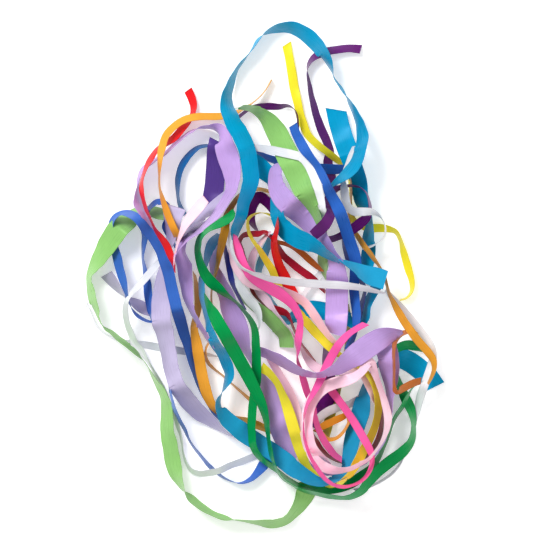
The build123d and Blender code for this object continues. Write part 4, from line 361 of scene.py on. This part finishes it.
    (128, -16, 4, 3), (136, -25, 5, 6), (146, -36, 5, 8), (157, -49, 5, 8), (167, -62, 5, 8), (175, -74, 5, 8),
    (178, -86, 5, 8), (175, -99, 5, 8), (170, -113, 5, 8), (165.5, -127, 5, 8), (162, -142, 4, 7),
    (158.5, -157, 3, 4), (156, -169, 3, 3), (152, -182, 3, 2), (147, -193, 3, 2), (142, -203, 3, 2),
    (134, -212, 3, 2), (124, -219, 3, 2), (113, -224, 3, 2), (103, -227, 3, 3), (95, -229, 3, 3)]),
    "coral_right": ("rust", 10, [
    (160, -60, 6, 3), (151, -60, 7, 4), (143, -63, 11, 4), (137.5, -70, 12, 4), (135.5, -80, 12, 3),
    (135.5, -92, 12, 2), (136, -104, 11.8, 2), (136, -115, 11.8, 2), (138.5, -123, 11.6, 5),
    (146, -119.5, 8, 8), (155, -115, 5, 8), (165, -112, 4, 7)]),
    "lavender_right": ("lavender", 25, [
    (-10, -79, 8, 9), (0, -83, 9, 10), (14, -89, 11, 11), (29, -97, 15, 10), (44, -103.5, 16, 7),
    (58, -104.5, 16, 6), (71, -100, 16, 11), (84, -92, 16, 19), (97, -83, 16, 24), (110, -74, 16, 24.5),
    (122, -66.5, 16, 23), (133, -61.5, 16, 15), (145, -60, 15, 4)]),
    "violet_right": ("lavender", 25, [
    (124, -62, 9, 16), (127, -74, 10, 20), (130, -86, 10, 22), (131, -98, 10, 20), (132, -109, 10, 16),
    (132.5, -120, 10, 10), (133, -131, 10, 6), (133, -142, 10, 3), (132, -153, 10, 2), (129.5, -164, 10, 3),
    (125.5, -175, 10, 4), (119.5, -185, 10, 5), (112, -193, 9, 5), (104, -199.5, 8, 5), (95, -205, 8, 4),
    (85, -209, 8, 4), (75, -210, 9, 4), (65, -208, 9, 5), (56, -203, 9, 5), (49.5, -196, 9, 5),
    (45.5, -187, 9, 3), (43, -178, 8, 1)]),
    "hotpink_loop": ("hotpink", 10, [
    (106, -51, 11, 6), (97, -56, 13, 6), (88, -62, 14, 6), (80, -70, 14, 8), (74, -79, 14, 9), (69, -88, 14, 9),
    (64, -98, 14, 8.5), (60, -107, 16, 8.5), (55, -117, 16.5, 7), (50, -126, 16.5, 5), (45, -135, 16.5, 3),
    (41.5, -146, 16, 1.5), (40.5, -159, 15, 1.5), (42, -173, 15, 2), (46.5, -187, 15, 3), (52, -198, 15, 4),
    (59, -208.5, 15, 4), (67, -216.5, 15, 3.5), (77, -221, 14, 2.5), (88, -221.5, 13, 2), (99, -218, 12, 2.5),
    (107, -211, 12, 3), (111.5, -202, 12, 4), (112.5, -192, 11, 5), (109.5, -182, 12, 8), (104, -172, 12, 8),
    (97, -160, 12, 8), (90, -149, 12, 8), (83, -139, 12, 8), (76, -129.5, 12, 8), (69.5, -121, 11, 9),
    (64, -112, 10, 8)]),
    "pink_ring": ("lightpink", 13, [
    (4, -88, 6, 5), (10, -97, 7, 8), (17, -109, 7, 9), (23, -119, 7, 9), (29, -130, 7, 9), (34.5, -143, 8, 7),
    (38, -156, 8, 5), (41, -169, 9, 5), (45.5, -182, 10, 7), (51.5, -192, 12, 11), (60, -200, 13, 12),
    (70, -204, 13, 10), (80, -204.5, 13, 7), (90, -202.5, 13, 5.5), (100, -198, 13, 5), (109, -192, 13, 4),
    (117, -183, 13, 3), (124, -172, 13, 4.5), (128, -160, 13, 7), (129, -148, 13, 8), (126.5, -135, 13, 8),
    (122.5, -122, 13, 6), (118, -110, 13, 6), (114.5, -100, 13, 9), (111, -92, 12, 10), (107, -94, 13, 8),
    (102, -101, 14, 8), (94, -107, 14, 10), (84, -111, 14, 12), (73, -114, 14, 12.5), (62, -119, 14, 12.5),
    (53, -127.5, 14, 12.5), (47, -138, 14, 12.5), (44.5, -150, 14, 12), (44.5, -162, 13, 11),
    (47.5, -174, 12, 9), (53, -184, 11, 8), (60, -192.5, 10.5, 7), (69, -199, 9.5, 4)]),
    "palepink_mid": ("blush", 13, [
    (6, 46, 4.8, 2), (0, 39, 4.8, 4), (-6, 32, 5.5, 5), (-12, 22, 8.6, 8), (-14.5, 12, 8.8, 8),
    (-14, 2, 8.8, 6), (-11, -10, 9.4, 5), (-5, -19, 10, 9), (3, -28, 10, 8), (11, -39, 10, 3), (19, -49, 10, 2),
    (27, -59, 10, 2), (32, -68, 10, 2), (38, -77, 9, 3), (43, -86, 9, 6), (49, -94, 9, 9), (57, -99, 9, 10),
    (68, -102, 9, 6), (81, -103, 9, 4), (92, -101, 10, 4), (101, -101, 10, 7), (107, -108, 9, 12),
    (112, -120, 9, 10), (116, -134, 8, 3)]),
    "crimson_ring": ("crimson", 13, [
    (46.5, -157, 8, 2), (49.5, -167, 8, 4), (54, -177, 8, 7), (60, -186, 8, 6), (68, -193, 7, 4),
    (79, -198, 6, 4), (91, -200, 6, 4), (102, -197, 7, 5), (111, -189.5, 9, 6), (117.5, -180, 9, 6.5),
    (122, -169, 9, 6), (124, -157, 9, 5), (123.5, -144, 9, 4), (122.5, -130, 9, 3), (120, -117, 8, 2),
    (114, -107, 7, 2.5), (104, -102, 7, 4), (94, -104, 7, 4), (84, -104.5, 6, 3)]),
    "white_inside": ("white", 13, [
    (53, -156, 5, 8), (60, -149, 6, 9), (69, -143.5, 6, 9.5), (79, -140, 6, 9), (88, -138, 7, 8),
    (94.5, -134, 4.5, 7), (101, -130, 3.2, 6), (108, -126.5, 3, 5), (115, -124, 3, 4)]),
    "orange_ring": ("orange", 10, [
    (53, -166, 6, 5), (61, -160, 8, 8), (70, -156, 9, 8), (79, -152, 10, 8), (87, -149, 9, 6), (89, -154, 9, 3),
    (86.5, -161, 9, 2), (81.5, -168, 9, 2.5), (74.5, -173, 9, 3), (67, -173.5, 9, 4), (60, -168, 8, 5),
    (54, -162, 7, 4)]),
    # Its olive colour is painted shade, for a green ribbon lying in shade inside the ring.
    "olive_inside": ("olive", 13, [
    (87.5, -30, 4, 3), (88.5, -42, 5, 4), (88.5, -57, 5, 4), (87, -75, 5, 4), (83, -98, 5, 4), (79, -118, 5, 5),
    (74, -136, 4, 8), (69, -151, 4, 10), (66.5, -163, 4, 10), (66, -175, 5, 4)]),
    "plum_ring": ("plum", 22, [
    (66, -74, 6, 6), (64.5, -84, 6, 6), (65, -97, 5, 8), (68, -110, 5, 14), (67, -124, 5, 20),
    (61, -137, 5, 20), (54, -149, 5, 18), (48, -160, 5, 10)]),
}


def evenly(route):
    """Rows of x, y, level and seen width, evenly spaced along a smooth curve through the route's points."""
    p = np.array(route, float)
    chords = np.linalg.norm(np.diff(p[:, :2], axis=0), axis=1)
    t = np.concatenate([[0.0], np.cumsum(np.sqrt(chords))])
    slope = np.gradient(p, t, axis=0)
    fine = np.linspace(0.0, t[-1], 40 * len(p))
    k = np.clip(np.searchsorted(t, fine, side="right") - 1, 0, len(t) - 2)
    h = (t[k + 1] - t[k])[:, None]
    s = (fine - t[k])[:, None] / h
    a, b = p[k], p[k + 1]
    smooth = ((1 + 2 * s) * (1 - s) ** 2 * a + s * (1 - s) ** 2 * h * slope[k]
              + s * s * (3 - 2 * s) * b + s * s * (s - 1) * h * slope[k + 1])
    plain = a + (b - a) * s * s * (3 - 2 * s)
    run = np.concatenate([[0.0], np.cumsum(np.linalg.norm(np.diff(smooth[:, :2], axis=0), axis=1))])
    at = np.linspace(0.0, run[-1], max(8, int(round(run[-1] / STATION_STEP)) + 1))
    columns = [smooth[:, 0], smooth[:, 1], plain[:, 2], plain[:, 3]]
    return np.column_stack([np.interp(at, run, column) for column in columns])


def twist(seen, width):
    """Tilt of each station. Where the ribbon stands on its edge it turns over and shows its other face."""
    share = np.clip(seen / width, 0.03, 0.995)
    on_edge = share < ON_EDGE
    starts = np.flatnonzero(np.diff(on_edge.astype(int)) == 1) + 1
    side = np.ones(len(share))
    for start in starts:
        rest = np.flatnonzero(~on_edge[start:])
        if start > 3 and len(rest) and start + rest[0] < len(share) - 3:
            side[start + rest[0] // 2:] *= -1
    tilt = np.arccos(side * share)
    for _ in range(3):
        tilt[1:-1] = (tilt[:-2] + 2 * tilt[1:-1] + tilt[2:]) / 4
    return tilt


def across(plan, tilt):
    """Unit vectors from one edge of the ribbon to the other."""
    ahead = np.gradient(plan, axis=0)
    ahead /= np.linalg.norm(ahead, axis=1)[:, None]
    flat = np.column_stack([-ahead[:, 1], ahead[:, 0]])
    return np.column_stack([flat * np.cos(tilt)[:, None], np.sin(tilt)])


def samples(plan, level, side, width, first):
    """Cell, station, level and height above the middle line of points spread over one ribbon."""
    spread = np.linspace(-0.5, 0.5, int(width / 1.5) | 1) * width
    rows = []
    for part in (0.0, 0.5):
        middle = plan[:-1] * (1 - part) + plan[1:] * part
        lean = side[:-1] * (1 - part) + side[1:] * part
        x = middle[:, 0, None] + lean[:, 0, None] * spread
        y = middle[:, 1, None] + lean[:, 1, None] * spread
        cell = np.floor((x + PLAN_REACH) / CELL) * 1000 + np.floor((y + PLAN_REACH) / CELL)
        station = np.repeat(np.arange(len(middle)) + first, len(spread))
        levels = np.repeat(level[:-1] * (1 - part) + level[1:] * part, len(spread))
        rows.append(np.column_stack([cell.ravel(), station, levels, (lean[:, 2, None] * spread).ravel()]))
    return np.vstack(rows)


def passages(points, owner):
    """One row for each time a ribbon passes a cell: cell, owner, station, level, lowest and highest."""
    order = np.lexsort((points[:, 1], owner, points[:, 0]))
    points, owner = points[order], owner[order]
    cell, station = points[:, 0], points[:, 1]
    new = np.ones(len(points), bool)
    new[1:] = (np.diff(cell) != 0) | (np.diff(owner) != 0) | (np.diff(station) > 5)
    start = np.flatnonzero(new)
    end = np.append(start[1:], len(points))
    level = np.add.reduceat(points[:, 2], start) / (end - start)
    lowest = np.minimum.reduceat(points[:, 3], start)
    highest = np.maximum.reduceat(points[:, 3], start)
    return np.column_stack([cell[start], owner[start], station[(start + end - 1) // 2], level, lowest, highest])


def pairs(cell):
    """Every two passages that share a cell."""
    count = np.arange(len(cell))
    ends = np.append(np.flatnonzero(np.diff(cell)) + 1, len(cell))
    stop = ends[np.searchsorted(ends, count, side="right")]
    found = []
    for step in range(1, int((stop - count).max())):
        one = np.flatnonzero(count + step < stop)
        found.append(np.column_stack([one, one + step]))
    return np.vstack(found).T


def crossings(passed):
    """Lower station, upper station and the least height between them, for every crossing in every cell."""
    owner, station, level = passed[:, 1], passed[:, 2].astype(int), passed[:, 3]
    p, q = pairs(passed[:, 0])
    order = np.lexsort((station[q], station[p], owner[q], owner[p]))
    p, q = p[order], q[order]
    new = np.ones(len(p), bool)
    new[1:] = ((np.diff(owner[p]) != 0) | (np.diff(owner[q]) != 0)
               | (np.abs(np.diff(station[p])) > 4) | (np.abs(np.diff(station[q])) > 14))
    higher = level[q] - level[p]
    sure = np.where(np.abs(higher) >= 1.5, np.sign(higher), 0)
    kept = sure[np.maximum.accumulate(np.where((sure != 0) | new, np.arange(len(p)), 0))]
    new[1:] |= (kept[1:] != kept[:-1]) & (kept[1:] != 0) & (kept[:-1] != 0)
    start = np.flatnonzero(new)
    above = (np.add.reduceat(higher, start) >= 0)[np.cumsum(new) - 1]
    lower, upper = np.where(above, p, q), np.where(above, q, p)
    return station[lower], station[upper], passed[lower, 5] - passed[upper, 4] + GAP


def settle(lower, upper, least, floor, before, after):
    """Heights at rest: free stretches sink, crossings hold ribbons apart, and stiffness keeps them smooth."""
    def smooth(height, times):
        for _ in range(times):
            height = height[before] / 4 + height / 2 + height[after] / 4
        return height

    height = floor.copy()
    for turn in range(ROUNDS):
        closing = turn >= ROUNDS - LAST_ROUNDS
        short = height[lower] + least - height[upper]
        lift, press = np.zeros(len(height)), np.zeros(len(height))
        np.maximum.at(lift, upper, short * (1.0 if closing else 0.6))
        if closing:
            height = smooth(height + np.minimum(lift, 2.0), 1)
        else:
            np.maximum.at(press, lower, short * 0.4)
            height = smooth(height + lift - press - SINK, STIFFNESS)
        height = np.maximum(height, floor)
    return np.maximum(smooth(height, 3), floor)


def lay_out(ribbons):
    """Each ribbon's middle line in space and its vectors from edge to edge."""
    plans, sides, widths, points, owners, first = [], [], [], [], [], [0]
    for number, (colour, width, route) in enumerate(ribbons.values()):
        rows = evenly(route)
        tilt = twist(rows[:, 3], width)
        side = across(rows[:, :2], tilt)
        points.append(samples(rows[:, :2], rows[:, 2], side, width, first[-1]))
        owners.append(np.full(len(points[-1]), number))
        plans.append(rows[:, :2])
        sides.append(side)
        widths.append(np.full(len(rows), float(width)))
        first.append(first[-1] + len(rows))
    side = np.vstack(sides)
    count = np.arange(first[-1])
    before, after = count - 1, count + 1
    before[first[:-1]] = first[:-1]
    after[np.array(first[1:]) - 1] = np.array(first[1:]) - 1
    floor = np.concatenate(widths) / 2 * side[:, 2] + THICKNESS / 2
    lower, upper, least = crossings(passages(np.vstack(points), np.concatenate(owners)))
    height = settle(lower, upper, least, floor, before, after)
    line = np.column_stack([np.vstack(plans), height])
    return {name: (line[a:b], side[a:b]) for name, a, b in zip(ribbons, first, first[1:])}


def section_corners(line, side, width):
    """The corners of the CAD ribbon's sections, from which its box and the heap's zero are known."""
    ahead = np.gradient(line, axis=0)
    face = np.cross(ahead, side)
    face /= np.linalg.norm(face, axis=1)[:, None]
    chosen = sorted({*range(0, len(line) - 2, SECTION_EVERY), len(line) - 1})
    half_width, half_thick = side[chosen] * width / 2, face[chosen] * THICKNESS / 2
    signs = [(-1, -1), (1, -1), (1, 1), (-1, 1)]
    return np.vstack([line[chosen] + a * half_width + b * half_thick for a, b in signs])


def finer(rows):
    """The same stations with more between them, on a smooth curve."""
    at = np.arange(len(rows))
    slope = np.gradient(rows, axis=0)
    wanted = np.linspace(0, len(rows) - 1, FINE * (len(rows) - 1) + 1)
    k = np.clip(wanted.astype(int), 0, len(rows) - 2)
    s = (wanted - at[k])[:, None]
    return ((1 + 2 * s) * (1 - s) ** 2 * rows[k] + s * (1 - s) ** 2 * slope[k]
            + s * s * (3 - 2 * s) * rows[k + 1] + s * s * (s - 1) * slope[k + 1])


def unit(rows):
    """The same vectors with length one."""
    return rows / np.linalg.norm(rows, axis=1)[:, None]


def ripple(run, lengths, rng):
    """An uneven wave along a ribbon, within about plus and minus one."""
    phases = rng.uniform(0, 2 * np.pi, len(lengths))
    return sum(np.sin(2 * np.pi * run / a + b) for a, b in zip(lengths, phases)) / len(lengths)


def ring(width):
    """Places across the ribbon, from -1 to 1, with half thicknesses, for its face and its back."""
    edge = 1 - 2 * BEAD_WIDTH / width
    inside = [edge * s / SPREAD[-1] * SPREAD_SHARE for s in SPREAD]
    places = [-1.0, -(1 + edge) / 2, -edge, *inside, edge, (1 + edge) / 2, 1.0]
    half = [0.25 * BEAD, BEAD / 2, CLOTH / 2 + 0.03, *([CLOTH / 2] * len(SPREAD)), CLOTH / 2 + 0.03, BEAD / 2,
            0.25 * BEAD]
    return np.array(places), np.array(half)


def strip(name, number, line, side, width):
    """The mesh of one ribbon: its middle line, slightly cupped, fluttering at its edges and buckled in turns."""
    rng = np.random.default_rng(number)
    line, side = finer(line), unit(finer(side))
    ahead = unit(np.gradient(line, axis=0))
    face = unit(np.cross(ahead, side))
    side = unit(np.cross(face, ahead))
    run = np.concatenate([[0.0], np.cumsum(np.linalg.norm(np.diff(line, axis=0), axis=1))])
    place, half = ring(width)
    cup = width * (CUP + CUP_WAVE * ripple(run, (61, 97, 143), rng))
    flutter = [width * FLUTTER * ripple(run, (19, 31, 53), rng) for _ in range(2)]
    turn = np.einsum("ij,ij->i", np.gradient(ahead, run, axis=0), side)
    tight = np.clip(np.abs(turn) * width / 2 - TIGHT_FROM, 0, TIGHT_MOST)
    buckle = width * BUCKLE * tight * ripple(run, (7.3, 10.9), rng)
    u = place[None, :]
    rise = cup[:, None] * (1 - u ** 2) + buckle[:, None] * np.clip(np.sign(turn)[:, None] * u, 0, 1) ** 2
    rise += flutter[0][:, None] * np.clip(-u, 0, 1) ** 2 + flutter[1][:, None] * np.clip(u, 0, 1) ** 2
    slants = rng.choice(SLANTS, 2)
    fade = [np.clip(1 - run / width, 0, 1), np.clip(1 - (run[-1] - run) / width, 0, 1)]
    skew = (slants[0] * fade[0] + slants[1] * fade[1])[:, None] * u * width / 2
    middle = (line[:, None] + side[:, None] * (u * width / 2)[..., None] + face[:, None] * rise[..., None]
              + ahead[:, None] * skew[..., None])
    points = np.concatenate([middle + face[:, None] * half[None, :, None],
                             (middle - face[:, None] * half[None, :, None])[:, ::-1]], axis=1)
    points[..., 2] += np.maximum(CLEAR - points[..., 2].min(axis=1), 0)[:, None]
    return points, place, run


def faces_of(rows, across):
    """Quads round the strip and over its two cut ends, and which of them lie on its back."""
    loop = 2 * across
    quads, back = [], []
    for i in range(rows - 1):
        for j in range(loop):
            k = (j + 1) % loop
            quads.append((i * loop + j, i * loop + k, (i + 1) * loop + k, (i + 1) * loop + j))
            back.append(j >= across and j < loop - 1)
    for start, turned in ((0, True), ((rows - 1) * loop, False)):
        for j in range(across - 1):
            quad = (start + j, start + j + 1, start + loop - 2 - j, start + loop - 1 - j)
            quads.append(quad[::-1] if not turned else quad)
            back.append(False)
    return quads, back


def make_ribbon(name, number, line, side, width, materials):
    """One ribbon in the scene, with its weave laid along it, and its length in millimetres."""
    points, place, run = strip(name, number, line, side, width)
    rows, loop = points.shape[:2]
    across = len(place)
    quads, back = faces_of(rows, across)
    mesh = bpy.data.meshes.new(name)
    mesh.from_pydata((points.reshape(-1, 3) * MM).tolist(), [], [q[::-1] for q in quads])
    u = np.tile(np.concatenate([place, place[::-1]]) * width / 2 * MM, rows)
    v = np.repeat(run * MM, loop)
    corner = np.zeros(len(mesh.loops), np.int32)
    mesh.loops.foreach_get("vertex_index", corner)
    layer = mesh.uv_layers.new(name="weave")
    layer.data.foreach_set("uv", np.column_stack([u[corner], v[corner]]).astype(np.float32).ravel())
    edge = np.clip((np.abs(u) / MM - (width / 2 - BEAD_WIDTH)) / BEAD_WIDTH * 2, 0, 1)
    mesh.attributes.new("woven_edge", "FLOAT", "POINT").data.foreach_set("value", edge.astype(np.float32))
    for material in materials:
        mesh.materials.append(material)
    mesh.polygons.foreach_set("material_index", np.array(back, np.int32))
    mesh.polygons.foreach_set("use_smooth", np.ones(len(quads), bool))
    mesh.validate()
    mesh.update()
    ribbon = bpy.data.objects.new(name, mesh)
    bpy.context.scene.collection.objects.link(ribbon)
    return ribbon, run[-1]


class Nodes:
    """Short words for making a material's nodes."""

    def __init__(self, name):
        self.material = bpy.data.materials.new(name)
        self.material.use_nodes = True
        self.tree = self.material.node_tree
        self.shader = self.tree.nodes["Principled BSDF"]

    def add(self, kind, **values):
        node = self.tree.nodes.new(kind)
        for key, value in values.items():
            setattr(node, key, value)
        return node

    def join(self, out, into):
        self.tree.links.new(out, into)

    def maths(self, operation, one, two):
        node = self.add("ShaderNodeMath", operation=operation)
        for socket, value in zip(node.inputs, (one, two)):
            if isinstance(value, (int, float)):
                socket.default_value = value
            else:
                self.join(value, socket)
        return node.outputs[0]

    def put(self, node, values):
        for socket, value in values.items():
            node.inputs[socket].default_value = value

    def noise(self, vector, scale, detail=2.0):
        node = self.add("ShaderNodeTexNoise")
        self.put(node, {"Scale": scale, "Detail": detail})
        self.join(vector, node.inputs["Vector"])
        return node.outputs["Fac"]

    def stretched(self, vector, scale):
        node = self.add("ShaderNodeMapping")
        self.put(node, {"Scale": scale})
        self.join(vector, node.inputs["Vector"])
        return node.outputs["Vector"]


def satin(name, colour, back):
    """Polyester satin: warp threads float along the ribbon, so it shines in long streaks. The back is duller."""
    n = Nodes(name)
    weave = n.add("ShaderNodeUVMap", uv_map="weave").outputs["UV"]
    threads = n.noise(n.stretched(weave, (5200, 190, 1)), 1.0)
    slubs = n.noise(n.stretched(weave, (900, 45, 1)), 1.0)
    picks = n.noise(n.stretched(weave, (260, 2600, 1)), 1.0)
    where = n.add("ShaderNodeTexCoord").outputs["Object"]
    patches = n.noise(where, 38.0, 3.0)
    edge = n.add("ShaderNodeAttribute", attribute_name="woven_edge").outputs["Fac"]
    shade = n.maths("ADD", n.maths("MULTIPLY", threads, 0.22), n.maths("MULTIPLY", patches, 0.34))
    shade = n.maths("ADD", shade, n.maths("MULTIPLY", slubs, 0.14))
    shade = n.maths("ADD", shade, 0.66)
    shade = n.maths("SUBTRACT", shade, n.maths("MULTIPLY", edge, 0.16))
    tint = n.add("ShaderNodeMix", data_type="RGBA", blend_type="MULTIPLY")
    tint.inputs["Factor"].default_value = 1.0
    grey = 0.03 if back else 0.0
    tint.inputs["A"].default_value = (*[c * (1 - grey) + grey * 0.5 for c in colour], 1)
    n.join(shade, tint.inputs["B"])
    n.join(tint.outputs["Result"], n.shader.inputs["Base Color"])
    gloss = n.maths("ADD", n.maths("MULTIPLY", slubs, 0.14), 0.42 if back else 0.22)
    n.join(n.maths("ADD", gloss, n.maths("MULTIPLY", edge, 0.18)), n.shader.inputs["Roughness"])
    relief = n.maths("ADD", n.maths("MULTIPLY", threads, 0.7), n.maths("MULTIPLY", picks, 0.5 if back else 0.3))
    bump = n.add("ShaderNodeBump")
    n.put(bump, {"Strength": 0.35, "Distance": 0.06 * MM})
    n.join(relief, bump.inputs["Height"])
    n.join(bump.outputs["Normal"], n.shader.inputs["Normal"])
    tangent = n.add("ShaderNodeTangent", direction_type="UV_MAP", uv_map="weave")
    n.join(tangent.outputs["Tangent"], n.shader.inputs["Tangent"])
    n.put(n.shader, {
        "Anisotropic": 0.25 if back else 0.6,
        "Sheen Weight": 0.05, "Sheen Roughness": 0.35,
        "Sheen Tint": (*[0.3 + 0.7 * c for c in colour], 1),
        "Specular IOR Level": 0.3 if back else 0.5,
        "Specular Tint": (*[0.15 + 0.85 * c for c in colour], 1),
    })
    return n.material


def area_light(name, place, size, power):
    """A white round lamp, aimed at the heap."""
    light = bpy.data.lights.new(name, "AREA")
    light.shape, light.size, light.energy = "DISK", size, power
    lamp = bpy.data.objects.new(name, light)
    bpy.context.scene.collection.objects.link(lamp)
    lamp.location = place
    lamp.rotation_euler = (-Vector(place)).to_track_quat("-Z", "Y").to_euler()


laid = lay_out(RIBBONS)
corners = np.vstack([section_corners(*laid[name], RIBBONS[name][1]) for name in RIBBONS])
low, high = corners.min(axis=0), corners.max(axis=0)
zero = np.array([*(low[:2] + high[:2]) / 2, low[2]])

# The camera looks straight down.
camera_data = bpy.data.cameras.new("camera")
camera_data.sensor_width = SENSOR
camera_data.lens = SENSOR * CAMERA_HEIGHT / (FRAMED * MM)
camera = bpy.data.objects.new("camera", camera_data)
bpy.context.scene.collection.objects.link(camera)
camera.location = (*(FRAME_MIDDLE - zero[:2]) * MM, CAMERA_HEIGHT + CAMERA_RISE)
bpy.context.scene.camera = camera

dyes = {}
for colour, dye in COLOURS.items():
    dyes[colour] = [satin(f"satin_{colour}", dye, False), satin(f"satin_{colour}_back", dye, True)]

for number, name in enumerate(RIBBONS):
    colour, width, _ = RIBBONS[name]
    line, side = laid[name]
    ribbon, length = make_ribbon(name + "_ribbon", number, line - zero, side, width, dyes[colour])
    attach(ribbon, "root")
    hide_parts(name)

floor_mesh = bpy.data.meshes.new("floor")
signs = ((-1, -1), (1, -1), (1, 1), (-1, 1))
floor_mesh.from_pydata([(FLOOR_REACH * a, FLOOR_REACH * b, 0) for a, b in signs], [], [(0, 1, 2, 3)])
floor = bpy.data.objects.new("floor", floor_mesh)
bpy.context.scene.collection.objects.link(floor)
floor.location.z = -FLOOR_DROP * MM
# The floor also glows faintly: painted light that lifts the shadows on it and lights the ribbons from below.
paper = Nodes("pale_floor")
paper.put(paper.shader, {
    "Base Color": (0.93, 0.93, 0.93, 1), "Roughness": 0.9, "Specular IOR Level": 0.1,
    "Emission Color": (1, 1, 1, 1), "Emission Strength": 0.3,
})
floor_mesh.materials.append(paper.material)

area_light("key", (-0.9, 1.1, 1.7), 0.9, 37)
area_light("fill", (1.4, -0.7, 1.5), 1.6, 8)
world = bpy.data.worlds.new("studio")
world.use_nodes = True
world.node_tree.nodes["Background"].inputs["Color"].default_value = (1, 1, 1, 1)
world.node_tree.nodes["Background"].inputs["Strength"].default_value = 0.62
bpy.context.scene.world = world
bpy.context.scene.view_settings.view_transform = "Standard"
